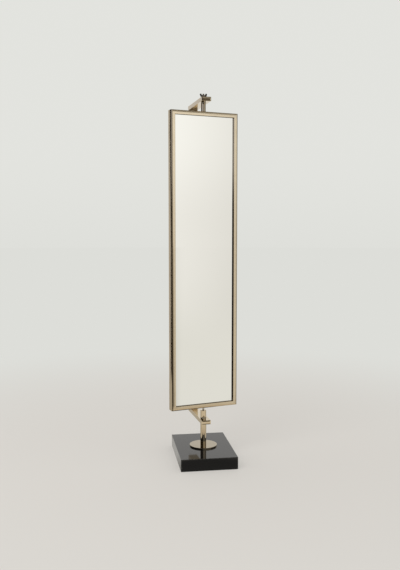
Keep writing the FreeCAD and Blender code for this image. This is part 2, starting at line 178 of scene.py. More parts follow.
def standing(height, side=1):
    """A place where a section stands upright, with its origin at a height, and its bar runs to the back.
    side is -1 for the left-handed twin of a section."""
    return Matrix(((side, 0, 0, 0), (0, 0, 1, 0), (0, 1, 0, height), (0, 0, 0, 1)))


def level(points, place, end, back=0.0, worn=0.0):
    """An outline as a loop in space: end gives each point's place along the bar, and back moves it."""
    loop = []
    for x, y, wear in points:
        along = end(x, y) if callable(end) else end
        loop.append((place @ Vector((x, y, along + back)), max(wear, worn)))
    return loop


def slanted(middle, slope):
    """The end of a mitred bar: its place along the bar changes with the section's second axis."""
    return lambda x, y: middle + slope * y


def bar(shape, place, low, high, low_rim, high_rim, hollow=None, stops=()):
    """A straight bar with rounded or plain ends. low and high are places along it, or slanted ends. hollow
    is the section of its bore, and stops are places of further loops."""
    loops = [level(shape(cut), place, low, back, worn) for cut, back, worn in low_rim]
    loops += [level(shape(), place, stop) for stop in stops]
    loops += [level(shape(cut), place, high, -back, worn) for cut, back, worn in reversed(high_rim)]
    if hollow is None:
        return skin(loops)
    loops += [level(hollow(), place, end) for end in (high, *reversed(stops), low)]
    return skin(loops, ring=True)


def skin(loops, ring=False):
    """Points and faces of a surface over loops that have as many points each. ring closes it on itself;
    otherwise its first and last loop are closed by a face."""
    count = len(loops[0])
    points = [point for loop in loops for point in loop]
    pairs = [(i, i + 1) for i in range(len(loops) - 1)]
    if ring:
        pairs.append((len(loops) - 1, 0))
    faces = []
    for first, second in pairs:
        for i in range(count):
            j = (i + 1) % count
            faces.append((first * count + i, first * count + j, second * count + j, second * count + i))
    if not ring:
        faces.append(tuple(range(count)))
        faces.append(tuple(range(len(points) - count, len(points))))
    return points, faces


def turned(profile, segments, ring=False):
    """A body of revolution about Z. Its profile is a list of points (radius, height, wear)."""
    loops = []
    for radius, height, wear in profile:
        loops.append([(Vector((radius * math.cos(angle), radius * math.sin(angle), height)), wear)
                      for angle in (2 * math.pi * i / segments for i in range(segments))])
    return skin(loops, ring)


def sleeve(bore, outside, low, high, edge, segments, steps=3):
    """A turned ring or tube with rounded outer edges."""
    corners = [(bore, low, 0.0), (outside, low, edge), (outside, high, edge), (bore, high, 0.0)]
    return turned(outline(corners, steps, edge), segments, ring=True)


def shaft(radius, low, high, edge, segments):
    """A turned solid bar with rounded ends."""
    profile = [(radius - cut, low + back, wear) for cut, back, wear in rim(edge)]
    profile += [(radius - cut, high - back, wear) for cut, back, wear in reversed(rim(edge))]
    return turned(profile, segments)


def drill(radius, low, high, flats=SMALL_FLATS):
    """What a drill takes out of a piece between the corners of its box."""
    return shaft(radius, low.z - THROUGH, high.z + THROUGH, 0, flats)


# ---------------------------------------------------------------- from skins to objects
def make_mesh(name, skins, turn=0.0):
    """A mesh of closed skins with their faces outwards, turned about Z, with wear as an attribute."""
    shape = bmesh.new()
    wear_layer = shape.verts.layers.float.new("wear")
    for points, faces in skins:
        verts = []
        for place, wear in points:
            vert = shape.verts.new(place)
            vert[wear_layer] = wear
            verts.append(vert)
        for face in faces:
            shape.faces.new([verts[i] for i in face])
    bmesh.ops.remove_doubles(shape, verts=shape.verts, dist=MERGE)
    bmesh.ops.recalc_face_normals(shape, faces=shape.faces)
    bmesh.ops.rotate(shape, verts=shape.verts, matrix=Matrix.Rotation(turn, 3, "Z"))
    mesh = bpy.data.meshes.new(name)
    shape.to_mesh(mesh)
    shape.free()
    return mesh


def make_object(name, skins, turn=0.0):
    """An object of such a mesh, in the scene."""
    item = bpy.data.objects.new(name, make_mesh(name, skins, turn))
    bpy.context.scene.collection.objects.link(item)
    return item


def settle(item):
    """Turns an object's modifiers into a plain mesh."""
    graph = bpy.context.evaluated_depsgraph_get()
    made = bpy.data.meshes.new_from_object(item.evaluated_get(graph), preserve_all_data_layers=True,
                                           depsgraph=graph)
    item.modifiers.clear()
    old = item.data
    item.data = made
    bpy.data.meshes.remove(old)


def bore(item, skins, turn=0.0):
    """Cuts closed skins out of an object."""
    tool = make_object(item.name + "_cutter", skins, turn)
    cut = item.modifiers.new("Bore", "BOOLEAN")
    cut.operation = "DIFFERENCE"
    cut.solver = "EXACT"
    cut.object = tool
    settle(item)
    bpy.data.meshes.remove(tool.data)


def finish(item, material, body, nodes):
    """Shades an object, gives it its material and sets it on its body in place of its CAD nodes."""
    mesh = item.data
    mesh.materials.clear()
    mesh.materials.append(material)
    mesh.polygons.foreach_set("use_smooth", [True] * len(mesh.polygons))
    mesh.set_sharp_from_angle(angle=SHARP)
    flat = item.modifiers.new("Flat faces", "WEIGHTED_NORMAL")
    flat.keep_sharp = True
    flat.weight = 100
    settle(item)
    item.data.name = item.name
    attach(item, body)
    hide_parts(*nodes)
    return item


def build(name, skins, material, body, nodes, turn=0.0):
    """A whole piece in one call."""
    return finish(make_object(name, skins, turn), material, body, nodes)


def paint(material, *nodes):
    """Gives CAD nodes that stay as they are their material."""
    for node in nodes:
        mesh = frame["nodes"][node].data
        mesh.materials.clear()
        mesh.materials.append(material)


# ---------------------------------------------------------------- node trees
class Value:
    """A socket that can stand in a sum."""

    def __init__(self, tree, socket):
        self.tree = tree
        self.socket = socket

    def __add__(self, other):
        return self.tree.math("ADD", self, other)

    def __sub__(self, other):
        return self.tree.math("SUBTRACT", self, other)

    def __rsub__(self, other):
        return self.tree.math("SUBTRACT", other, self)

    def __mul__(self, other):
        return self.tree.math("MULTIPLY", self, other)

    def __truediv__(self, other):
        return self.tree.math("DIVIDE", self, other)

    def __rtruediv__(self, other):
        return self.tree.math("DIVIDE", other, self)

    __radd__ = __add__
    __rmul__ = __mul__


class Tree:
    """A node tree under construction."""

    def __init__(self, tree):
        self.tree = tree

    def add(self, kind, settings=None, sockets=None, output=0):
        """Adds a node: its settings first, then its sockets' values or links. Returns one output."""
        node = self.tree.nodes.new(kind)
        for key, value in (settings or {}).items():
            setattr(node, key, value)
        for key, value in (sockets or {}).items():
            if isinstance(value, Value):
                self.tree.links.new(value.socket, node.inputs[key])
            else:
                node.inputs[key].default_value = value
        return Value(self, node.outputs[output]) if len(node.outputs) else None

    def math(self, operation, *values):
        """A Math node."""
        return self.add("ShaderNodeMath", {"operation": operation}, dict(enumerate(values)))

    def step(self, value, low, high, start=0.0, end=1.0):
        """A soft step from start to end as value goes from low to high."""
        return self.add("ShaderNodeMapRange", {"interpolation_type": "SMOOTHSTEP"},
                        {"Value": value, "From Min": low, "From Max": high, "To Min": start, "To Max": end})

    def blend(self, factor, first, second):
        """A mix of two colours."""
        return self.add("ShaderNodeMix", {"data_type": "RGBA"}, {0: factor, 6: first, 7: second}, 2)

    def glow(self, colour):
        """A shader that shows a colour as it is."""
        return self.add("ShaderNodeEmission", None, {"Color": colour, "Strength": 1.0})

    def mix(self, factor, first, second):
        """A mix of two shaders."""
        return self.add("ShaderNodeMixShader", None, {0: factor, 1: first, 2: second})

    def split(self, vector):
        """The three parts of a vector."""
        first = self.add("ShaderNodeSeparateXYZ", None, {0: vector})
        node = first.socket.node
        return [Value(self, node.outputs[i]) for i in range(3)]

    def join(self, x, y, z):
        """A vector of three values."""
        return self.add("ShaderNodeCombineXYZ", None, {0: x, 1: y, 2: z})


class Finish(Tree):
    """A material under construction. Its pattern lies in the axes of the piece."""

    def __init__(self, name, turn=0.0):
        self.material = bpy.data.materials.new(name)
        self.material.use_nodes = True
        super().__init__(self.material.node_tree)
        self.tree.nodes.clear()
        place = self.add("ShaderNodeTexCoord", output="Object")
        self.place = self.add("ShaderNodeMapping", None, {"Vector": place, "Rotation": (0, 0, -turn)})

    def noise(self, scale, detail=2.0, stretch=(1, 1, 1), distortion=0.0, place=None):
        """Noise of a scale per metre, stretched along the axes."""
        vector = self.add("ShaderNodeVectorMath", {"operation": "MULTIPLY"},
                          {0: place or self.place, 1: stretch})
        return self.add("ShaderNodeTexNoise", None,
                        {"Vector": vector, "Scale": scale, "Detail": detail, "Distortion": distortion}, "Fac")

    def cells(self, scale):
        """Distance from the nearest of scattered points."""
        return self.add("ShaderNodeTexVoronoi", None, {"Vector": self.place, "Scale": scale}, "Distance")

    def radius_and_height(self):
        """Distance from the axis of the post, and the height."""
        x, y, z = self.split(self.place)
        return self.math("SQRT", x * x + y * y), z

    def turning(self, scale):
        """Noise in fine rings, as a lathe leaves them."""
        radius, height = self.radius_and_height()
        return self.noise(scale, 3, place=self.join(radius, 0.0, height))

    def worn(self, scale, low, high, detail=4):
        """Patchy wear along the rounded edges, which the mesh marks."""
        edges = self.add("ShaderNodeAttribute", {"attribute_name": "wear"}, None, "Fac")
        return edges * self.step(self.noise(scale, detail), low, high)

    def surface(self, colour, roughness, height=None, depth=0.0, more=None):
        """Closes the tree with a surface shader. height is the relief, and depth its size in metres."""
        sockets = {"Base Color": colour, "Roughness": roughness, **(more or {})}
        if height is not None:
            sockets["Normal"] = self.add("ShaderNodeBump", None, {"Height": height, "Distance": depth})
        shader = self.add("ShaderNodeBsdfPrincipled", None, sockets)
        self.add("ShaderNodeOutputMaterial", None, {"Surface": shader})
        return self.material

    def metal(self, colour, roughness, height=None, depth=0.0):
        """Closes the tree as bare metal."""
        return self.surface(colour, roughness, height, depth, {"Metallic": 1.0})


def kept(maker):
    """Makes a material once for each set of arguments."""
    made = {}

    def ready(*arguments):
        if arguments not in made:
            made[arguments] = maker(*arguments)
        return made[arguments]

    return ready


def tone(colour, factor):
    """A colour made darker or lighter, as a socket takes it."""
    return (*(min(1.0, part * factor) for part in colour[:3]), 1.0)


NUT_DULL, NUT_EARS = 0.5, 0.8  # the wing nut's roughness, and how dark its ears are
NUT_HUB = (9 * MM, 11 * MM)    # radii between which its turned middle gives way to the ears
DISC_CLEAN = 0.64              # how bright the disc's brass is kept
FRAME_DARKER_LOW = 0.65           # how much darker the frame's brass is made towards the bottom
DARKENING_HEIGHTS = (1.5, 0.95)            # heights between which that darkening sets in, full below the lower one


@kept
def polished_brass(grain, turn, clean=1.0, darker_low=0.0):
    """Pale polished brass. grain is the way its polishing lines run: across, back, up or round, clean is
    how bright it is kept and the last argument is how much darker it is made towards the bottom, below 1.5 m."""
    look = bpy.context.scene.dressing_mirror.metal
    make = Finish("polished_brass_" + grain, turn)
    if grain == "round":
        lines = make.turning(2600)
    else:
        along = 0.012                  # how much finer the pattern is across the lines than along them
        stretch = {"across": (along, 1, 1), "back": (1, along, 1), "up": (1, 1, along)}[grain]
        lines = make.noise(2600, 3, stretch)
    smudge = make.step(make.noise(14, 5, distortion=0.6), 0.38, 0.74)
    patina = make.step(make.noise(38, 6, distortion=0.3), 0.48, 0.78)
    wear = make.worn(220, 0.3, 0.6)
    colour = make.blend(patina * 0.3, tone(look.colour, clean), tone(look.patina, clean))
    # The colour is made darker towards the bottom: from 1.5 m down it is mixed towards the patina, fully
    # below 0.95 m.
    if darker_low:
        _, height = make.radius_and_height()
        colour = make.blend(make.step(height, *DARKENING_HEIGHTS, 0.0, darker_low), colour, tone(look.patina, clean))
    colour = make.blend(wear * 0.5, colour, tone(look.colour, 1.06))
    roughness = look.roughness + smudge * look.smudge + lines * 0.03
    waves = make.noise(7, 2)
    return make.metal(colour, roughness, lines * 0.0012 + waves, look.waviness)


@kept
def turned_steel(dull=0.22, ears=0.0):
    """Bright steel, turned or cast and tumbled. dull is its roughness and ears is how much darker it is made
    away from the turned middle, on the wings."""
    make = Finish("turned_steel")
    lines = make.turning(2400)
    grime = make.step(make.noise(120, 5, distortion=0.4), 0.5, 0.75)
    wear = make.worn(400, 0.3, 0.6, 3)
    colour = make.blend(grime * 0.5, (0.64, 0.61, 0.55, 1), (0.34, 0.30, 0.24, 1))
    roughness = lines * 0.12 + grime * 0.12 + dull
    if ears:
        # The wings are made darker than the turned middle.
        radius, _ = make.radius_and_height()
        outside = make.step(radius, *NUT_HUB)
        colour = make.blend(outside * ears, colour, (0.08, 0.07, 0.055, 1))
        roughness = roughness - outside * 0.4
    colour = make.blend(wear * 0.5, colour, (0.74, 0.71, 0.66, 1))
    return make.metal(colour, roughness, lines, 0.006 * MM)


@kept
def zinc_steel():
    """Zinc-plated steel with its faint spangle."""
    make = Finish("zinc_steel")
    spangle = make.cells(900)
    cloud = make.noise(160, 4)
    colour = make.blend(cloud, (0.50, 0.51, 0.50, 1), (0.66, 0.66, 0.62, 1))
    return make.metal(colour, 0.28 + spangle * 0.2, spangle, 0.01 * MM)


@kept
def bearing_bronze():
    """Turned bearing bronze, darkened a little."""
    make = Finish("bearing_bronze")
    lines = make.turning(1800)
    stain = make.step(make.noise(90, 5), 0.45, 0.7)
    colour = make.blend(stain, (0.56, 0.36, 0.18, 1), (0.30, 0.18, 0.09, 1))
    return make.metal(colour, 0.3 + lines * 0.15, lines, 0.01 * MM)


@kept
def black_lacquer():
    """High-gloss black lacquer with faint orange peel, dust and rubbing marks."""
    look = bpy.context.scene.dressing_mirror.block
    make = Finish("black_lacquer")
    peel = make.noise(260, 2)
    haze = make.step(make.noise(11, 5, distortion=0.5), 0.38, 0.74)
    rubbing = make.step(make.noise(900, 3, (1, 0.03, 1), 0.4), 0.62, 0.72)
    dust = make.step(make.noise(1500, 2), 0.71, 0.75)
    wear = make.worn(160, 0.42, 0.6)
    colour = make.blend(dust * 0.35 + wear * 0.3, look.colour, (0.10, 0.10, 0.10, 1))
    roughness = look.roughness + haze * 0.05 + rubbing * 0.05 + dust * 0.3
    return make.surface(colour, roughness, peel + rubbing * 0.1, look.peel, {"IOR": 1.52})


@kept
def mirror_silver():
    """Silvered glass: a clean reflection with the faintest wiping marks."""
    look = bpy.context.scene.dressing_mirror.glass
    make = Finish("mirror_silver", MIRROR_TURN)
    wiping = make.step(make.noise(5, 4, (1, 1, 0.35), 0.8), 0.45, 0.75)
    dust = make.step(make.noise(1300, 2), 0.73, 0.77)
    colour = make.blend(dust * 0.25, look.tint, tone(look.tint, 0.75))
    return make.metal(colour, look.haze + wiping * 0.012 + dust * 0.1)


@kept
def black_vinyl():
    """Soft black vinyl of the glazing strips."""
    make = Finish("black_vinyl", MIRROR_TURN)
    grain = make.noise(1400, 3)
    cloud = make.noise(60, 3)
    colour = make.blend(cloud, (0.012, 0.012, 0.012, 1), (0.035, 0.034, 0.033, 1))
    return make.surface(colour, 0.42 + grain * 0.2, grain, 0.03 * MM)


@kept
def black_felt():
    """Pressed felt: matted fibres with a little lint."""
    make = Finish("black_felt")
    fibres = make.noise(1100, 6, (1, 1, 0.4), 1.6)
    tufts = make.noise(240, 4)
    lint = make.step(make.noise(700, 3, distortion=1.2), 0.68, 0.73)
    colour = make.blend(fibres * 0.6 + tufts * 0.3, (0.010, 0.010, 0.011, 1), (0.055, 0.054, 0.053, 1))
    colour = make.blend(lint * 0.6, colour, (0.20, 0.20, 0.19, 1))
    return make.surface(colour, 0.92, fibres + tufts * 0.5, 0.5 * MM, {"Sheen Weight": 0.4})


@kept
def nylon():
    """Natural nylon of the thrust washers."""
    make = Finish("nylon")
    cloud = make.noise(140, 4)
    rub = make.noise(900, 3, (1, 1, 0.2))
    colour = make.blend(cloud, (0.62, 0.58, 0.50, 1), (0.76, 0.73, 0.66, 1))
    return make.surface(colour, 0.36 + rub * 0.2, rub, 0.02 * MM, {"Subsurface Weight": 0.1})


@kept
def pine():
    """Planed softwood of the battens, with its grain along the block."""
    make = Finish("pine")
    rings = make.noise(70, 4, (1, 0.06, 1), 1.5)
    fibres = make.noise(700, 3, (1, 0.03, 1))
    colour = make.blend(make.step(rings, 0.4, 0.62), (0.66, 0.46, 0.26, 1), (0.44, 0.26, 0.12, 1))
    return make.surface(colour, 0.6 + fibres * 0.2, fibres, 0.1 * MM)


@kept
def fibreboard():
    """Tempered fibreboard: brown matted fibre."""
    make = Finish("fibreboard")
    fibres = make.noise(420, 6, distortion=2.0)
    flecks = make.step(make.noise(1300, 2, distortion=0.8), 0.62, 0.68)
    colour = make.blend(fibres, (0.20, 0.11, 0.055, 1), (0.34, 0.21, 0.11, 1))
    colour = make.blend(flecks * 0.5, colour, (0.48, 0.33, 0.19, 1))
    return make.surface(colour, 0.66, fibres, 0.08 * MM)


@kept
def cast_iron():
    """Painted cast iron of the slab."""
    make = Finish("cast_iron")
    sand = make.noise(900, 4)
    rust = make.step(make.noise(60, 6, distortion=0.6), 0.58, 0.72)
    colour = make.blend(rust * 0.7, (0.035, 0.036, 0.038, 1), (0.16, 0.07, 0.035, 1))
    return make.surface(colour, 0.62 + sand * 0.25, sand, 0.25 * MM)


# ---------------------------------------------------------------- geometry node trees
class Group(Tree):
    """A geometry node tree with named inputs. It ends in Realize Instances and Set Material."""

    def __init__(self, name, floats, has_points):
        super().__init__(bpy.data.node_groups.new(name, "GeometryNodeTree"))
        self.sockets = {}
        if has_points:
            self.new_input("Points", "NodeSocketGeometry")
        for label in floats:
            self.new_input(label, "NodeSocketFloat")
        self.new_input("Material", "NodeSocketMaterial")
        self.tree.interface.new_socket("Geometry", in_out="OUTPUT", socket_type="NodeSocketGeometry")
        self.entry = self.tree.nodes.new("NodeGroupInput")

    def new_input(self, label, kind):
        """Adds a named input."""
        self.sockets[label] = self.tree.interface.new_socket(label, in_out="INPUT", socket_type=kind)

    def input(self, label):
        """An input's value inside the tree."""
        return Value(self, self.entry.outputs[label])

    def close(self, geometry):
        """Ends the tree."""
        whole = self.add("GeometryNodeRealizeInstances", None, {0: geometry})
        shaded = self.add("GeometryNodeSetMaterial", None,
                          {"Geometry": whole, "Material": self.input("Material")})
        self.add("NodeGroupOutput", None, {0: shaded})

    def gather(self, *parts):
        """Joins geometries."""
        joined = self.add("GeometryNodeJoinGeometry")
        for part in reversed(parts):
            self.tree.links.new(part.socket, joined.socket.node.inputs[0])
        return joined

    def run(self, item, material, values):
        """Applies the tree to an object and leaves a plain mesh."""
        modifier = item.modifiers.new(self.tree.name, "NODES")
        modifier.node_group = self.tree
        for label, value in values.items():
            modifier[self.sockets[label].identifier] = value
        modifier[self.sockets["Material"].identifier] = material
        settle(item)


def screw_tree():
    """Slotted countersunk screws: one on each point, its head flush there and its shank along facing."""
    make = Group("Slotted screws", ("Head", "Shank", "Length", "Slot width", "Slot depth"), True)
    head, shank, length = make.input("Head"), make.input("Shank"), make.input("Length")
    sink = (head - shank) / 2
    stem_radius = shank * 0.499        # a hair inside the cone's narrow end
    slot_length = head * 1.2           # past the head on both sides
    cone = make.add("GeometryNodeMeshCone", None, {"Vertices": PIN_FLATS, "Radius Bottom": head / 2,
                                                   "Radius Top": shank / 2, "Depth": sink})
    stem = make.add("GeometryNodeMeshCylinder", None, {"Vertices": PIN_FLATS, "Radius": stem_radius,
                                                       "Depth": length - sink / 2})
    stem = make.add("GeometryNodeTransform", None,
                    {"Geometry": stem, "Translation": make.join(0.0, 0.0, (length + sink / 2) / 2)})
    whole = make.add("GeometryNodeMeshBoolean", {"operation": "UNION", "solver": "EXACT"})
    for part in (cone, stem):
        make.tree.links.new(part.socket, whole.socket.node.inputs["Mesh 2"])
    slot = make.add("GeometryNodeMeshCube", None,
                    {"Size": make.join(slot_length, make.input("Slot width"), make.input("Slot depth") * 2)})
    cut = make.add("GeometryNodeMeshBoolean", {"operation": "DIFFERENCE", "solver": "EXACT"},
                   {"Mesh 1": whole, "Mesh 2": slot})
    facing = make.add("GeometryNodeInputNamedAttribute", {"data_type": "FLOAT_VECTOR"}, {"Name": "facing"})
    turn = make.add("FunctionNodeAlignRotationToVector", {"axis": "Z"}, {"Vector": facing})
    points = make.add("GeometryNodeMeshToPoints", None, {"Mesh": make.input("Points")})
    placed = make.add("GeometryNodeInstanceOnPoints", None,
                      {"Points": points, "Instance": cut, "Rotation": turn})
    make.close(placed)
    return make


def thread_tree(segments):
    """A threaded rod on the axis: plain below, a helical thread above, and a chamfered tip."""
    make = Group("Threaded rod", ("Bottom", "Thread start", "Top", "Radius", "Depth", "Pitch", "Chamfer"),
                 False)
    bottom, start, top = make.input("Bottom"), make.input("Thread start"), make.input("Top")
    crest, depth, pitch = make.input("Radius"), make.input("Depth"), make.input("Pitch")
    tip = crest - make.input("Chamfer")
    rows_a_turn = 8
    crest_level, flank = 1.3, 3.2      # the thread's profile: full from 1 up, and its fall with the phase
    turns_ahead = 64.0                 # keeps the phase above zero
    rows = make.math("CEIL", (top - start) / pitch * rows_a_turn)
    grid = make.add("GeometryNodeMeshGrid", None, {"Size X": 1.0, "Size Y": 1.0, "Vertices X": rows,
                                                   "Vertices Y": segments + 1})
    x, y, _ = make.split(make.add("GeometryNodeInputPosition"))
    share = y + 0.5
    height = start + (x + 0.5) * (top - start)
    phase = make.math("FRACT", height / pitch - share + turns_ahead)
    ridge = crest_level - make.math("ABSOLUTE", phase - 0.5) * flank
    ridge = make.math("MINIMUM", make.math("MAXIMUM", ridge, 0.0), 1.0)
    ridge = make.math("MAXIMUM", ridge, 1.0 - (height - start) / pitch)
    radius = make.math("MINIMUM", crest - depth + depth * ridge, tip + (top - height))
    angle = share * (2 * math.pi)
    place = make.join(radius * make.math("COSINE", angle), radius * make.math("SINE", angle), height)
    helix = make.add("GeometryNodeSetPosition", None, {"Geometry": grid, "Position": place})
    plain = make.add("GeometryNodeMeshCylinder", {"fill_type": "NONE"},
                     {"Vertices": segments, "Radius": crest, "Depth": start - bottom})
    plain = make.add("GeometryNodeTransform", None,
                     {"Geometry": plain, "Translation": make.join(0.0, 0.0, (start + bottom) / 2)})
    ends = []
    for end_radius, end in ((crest, bottom), (tip, top)):
        disc = make.add("GeometryNodeMeshCircle", {"fill_type": "NGON"},
                        {"Vertices": segments, "Radius": end_radius})
        ends.append(make.add("GeometryNodeTransform", None,
                             {"Geometry": disc, "Translation": make.join(0.0, 0.0, end)}))
    joined = make.gather(helix, plain, *ends)
    closed = make.add("GeometryNodeMergeByDistance", None, {"Geometry": joined, "Distance": MERGE})
    make.close(closed)
    return make


# ---------------------------------------------------------------- settings
def colour_setting(name, description, default):
    """A colour in the sidebar."""
    return bpy.props.FloatVectorProperty(name=name, description=description, subtype="COLOR", size=4,
                                         default=(*default, 1.0))


def share_setting(name, description, default):
    """A value between nothing and one."""
    return bpy.props.FloatProperty(name=name, description=description, default=default, min=0.0, max=1.0)


def length_setting(name, description, default):
    """A length in metres."""
    return bpy.props.FloatProperty(name=name, description=description, default=default, min=0.0,
                                   unit="LENGTH")


def angle_setting(name, description, degrees):
    """An angle, given in degrees."""
    return bpy.props.FloatProperty(name=name, description=description, default=math.radians(degrees),
                                   subtype="ANGLE")


class MetalLook(bpy.types.PropertyGroup):
    """Polished brass."""
    colour: colour_setting("Colour", "Reflection of the clean metal", (0.76, 0.66, 0.50))
    patina: colour_setting("Patina", "Reflection where the metal has dulled", (0.56, 0.45, 0.31))
    roughness: share_setting("Roughness", "Roughness of the cleanest places", 0.05)
    smudge: share_setting("Smudge", "Roughness that handling adds", 0.05)
    waviness: length_setting("Waviness", "Height of the polisher's waves", 0.2 * MM)


class BlockLook(bpy.types.PropertyGroup):
    """Black lacquer."""
    colour: colour_setting("Colour", "Colour of the lacquer", (0.006, 0.006, 0.0065))
    roughness: share_setting("Roughness", "Roughness of the cleanest places", 0.06)
    peel: length_setting("Orange peel", "Height of the lacquer's orange peel", 0.006 * MM)
    edge: length_setting("Edge", "Rounding of the block's edges", 1.0 * MM)


class GlassLook(bpy.types.PropertyGroup):
    """Silvered glass."""
    tint: colour_setting("Tint", "Reflection of the silvered glass", (0.965, 0.97, 0.95))
    haze: share_setting("Haze", "Roughness of the clean glass", 0.008)
    arris: length_setting("Arris", "Width of the ground edge of the glass", 0.4 * MM)


class EdgeSizes(bpy.types.PropertyGroup):
    """Roundings of the metal."""
    frame: length_setting("Frame", "Rounding of the frame's outer edges", 5.0 * MM)
    lip: length_setting("Lip", "Rounding of the frame's edges beside the glass", 1.0 * MM)
    tube: length_setting("Tube", "Rounding of the bracket's edges", 1.2 * MM)
    mitre: length_setting("Mitre", "Chamfer along the mitred joints", 0.12 * MM)
    bulge: length_setting("Bulge", "Crown of the wide sides of the tubes", 0.16 * MM)
    turned: length_setting("Turned", "Rounding of the turned pieces", 0.6 * MM)


class StageLook(bpy.types.PropertyGroup):
    """Floor, backdrop, lamps and camera."""
    floor: colour_setting("Floor", "Colour of the floor", (0.69, 0.665, 0.628))
    horizon: colour_setting("Horizon", "Backdrop at the horizon", (0.725, 0.73, 0.695))
    upper: colour_setting("Upper", "Backdrop high up", (0.765, 0.77, 0.735))
    ambient_colour: colour_setting("Ambient colour", "Light from all round", (1.0, 0.995, 0.97))
    ambient: share_setting("Ambient", "Level of the light from all round", 0.86)
    key: bpy.props.FloatProperty(name="Key", description="Power of the large soft lamp", default=56.0,
                                 min=0.0, unit="POWER")
    focal: bpy.props.FloatProperty(name="Focal length", description="Lens on a 36 mm wide sensor, in mm",
                                   default=42.91, min=1.0)
    camera_distance: length_setting("Camera distance", "Camera to the post's axis", 3.4536)
    camera_height: length_setting("Camera height", "Camera above the floor", 1.184)
    camera_side: angle_setting("Camera side", "Way to the camera, left of the front", 8.794)
    camera_heading: angle_setting("Camera heading", "Way that the camera looks", -8.51)
    camera_tilt: angle_setting("Camera tilt", "Angle that the camera looks down", 4.73)


class MirrorSettings(bpy.types.PropertyGroup):
    """All settings of the dressing mirror."""
    metal: bpy.props.PointerProperty(type=MetalLook)
    block: bpy.props.PointerProperty(type=BlockLook)
    glass: bpy.props.PointerProperty(type=GlassLook)
    edges: bpy.props.PointerProperty(type=EdgeSizes)
    stage: bpy.props.PointerProperty(type=StageLook)


# ---------------------------------------------------------------- block, disc and post
def round_hole(points, radius, height):
    """A loop round a hole, with a point towards each point of an outline."""
    loop = []
    for x, y, _ in points:
        angle = math.atan2(y, x)
        loop.append((Vector((radius * math.cos(angle), radius * math.sin(angle), height)), 0.0))
    return loop


class DRESSING_MIRROR_OT_block(bpy.types.Operator):
    """The lacquered block: a shell that is open below"""
    bl_idname = "dressing_mirror.block"
    bl_label = "Block"

    def execute(self, context):
        edge = context.scene.dressing_mirror.block.edge
        corner, steps, wear_reach = edge * 1.2, 4, 8 * MM
        low, high = square_box("base_shell")
        inner_low, inner_high = square_box("base_battens")
        outer = rectangle(high.x - low.x, high.y - low.y, corner, steps, wear_reach, DIVIDED)
        cavity = rectangle(inner_high.x - inner_low.x, inner_high.y - inner_low.y, edge, steps, wear_reach,
                           DIVIDED)
        hole, _ = radii("base_shell")
        top = rim(edge, steps, wear_reach / 2)
        loops = [round_hole(outer(top[0][0]), hole, high.z)]
        loops += [level(outer(cut), UPRIGHT, high.z, -back, worn) for cut, back, worn in top]
        loops += [level(outer(), UPRIGHT, low.z), level(cavity(), UPRIGHT, low.z),
                  level(cavity(), UPRIGHT, inner_high.z), round_hole(cavity(), hole, inner_high.z)]
        shell = make_object("lacquered_block", [skin(loops, ring=True)])
        finish(shell, black_lacquer(), "base", ["base_shell"])
        return {"FINISHED"}


class DRESSING_MIRROR_OT_felt(bpy.types.Operator):
    """The felt that the block stands on"""
    bl_idname = "dressing_mirror.felt"
    bl_label = "Felt"

    def execute(self, context):
        low, high = square_box("felt_pad")
        corner, edge = 2 * MM, rim(0.3 * MM)
        pad = rectangle(high.x - low.x, high.y - low.y, corner)
        felt = bar(pad, UPRIGHT, low.z, high.z, edge, edge)
        build("felt_underside", [felt], black_felt(), "base", ["felt_pad"])
        return {"FINISHED"}


class DRESSING_MIRROR_OT_disc(bpy.types.Operator):
    """The turned disc at the foot of the post"""
    bl_idname = "dressing_mirror.disc"
    bl_label = "Disc"

    def execute(self, context):
        low, high = square_box("disc_flange")
        hole, outside = radii("disc_flange")
        _, post = radii("post_tube")
        seat, _ = square_box("post_tube")
        socket = post + FIT
        under, upper, mouth = 0.2 * MM, 0.8 * MM, 0.3 * MM       # roundings
        corners = [(hole, low.z, 0), (outside, low.z, under), (outside, high.z, upper),
                   (socket, high.z, mouth), (socket, seat.z, 0), (hole, seat.z, 0)]
        disc = turned(outline(corners, margin=1.0 * MM), DISC_FLATS, ring=True)
        build("disc_foot", [disc], polished_brass("round", 0.0, DISC_CLEAN), "base",
              ["disc_flange"])
        return {"FINISHED"}


class DRESSING_MIRROR_OT_post(bpy.types.Operator):
    """The round post, the nylon washers of the swivel, and the collar with its pin"""
    bl_idname = "dressing_mirror.post"
    bl_label = "Post"

    def execute(self, context):
        edge = context.scene.dressing_mirror.edges.turned
        tube_edge = edge * 0.7
        low, high = square_box("post_tube")
        inside, outside = radii("post_tube")
        tube = sleeve(inside, outside, low.z, high.z, tube_edge, RING_FLATS)
        build("post", [tube], polished_brass("up", 0.0), "base", ["post_tube"])

        inside, outside = radii("swivel_washers")
        low, high = square_box("swivel_washers")
        arm_low, arm_high = square_box("lower_arm")
        washers = [sleeve(inside, outside, low.z, arm_low.z - TURN_GAP, WASHER_EDGE, RING_FLATS),
                   sleeve(inside, outside, arm_high.z + TURN_GAP, high.z, WASHER_EDGE, RING_FLATS)]
        build("thrust_washers", washers, nylon(), "base", ["swivel_washers"])

        low, high = square_box("pivot_collar")
        _, outside = radii("pivot_collar")
        spindle, _ = radii("lower_arm_bush")
        _, spindle_high = square_box("post_upper_plug")
        _, pin = radii("pivot_pin")
        pin_low, pin_high = square_box("pivot_pin")
        wear_reach = 1.0 * MM
        upper, lower = rim(1.0 * MM, 4, wear_reach), rim(edge, 3, wear_reach)
        profile = [(pin + FIT, pin_low.z - FIT, 0.0), (pin + FIT, high.z, 0.0)]
        profile += [(outside - cut, high.z - back, wear) for cut, back, wear in upper]
        profile += [(outside - cut, low.z + back, wear) for cut, back, wear in reversed(lower)]
        profile += [(spindle, low.z, 0.0), (spindle, spindle_high.z + FIT, 0.0)]
        build("collar", [turned(profile, RING_FLATS)], polished_brass("round", 0.0), "base",
              ["pivot_collar"])
        build("lower_pin", [shaft(pin, pin_low.z, pin_high.z, edge, PIN_FLATS)], turned_steel(), "base",
              ["pivot_pin"])
        return {"FINISHED"}


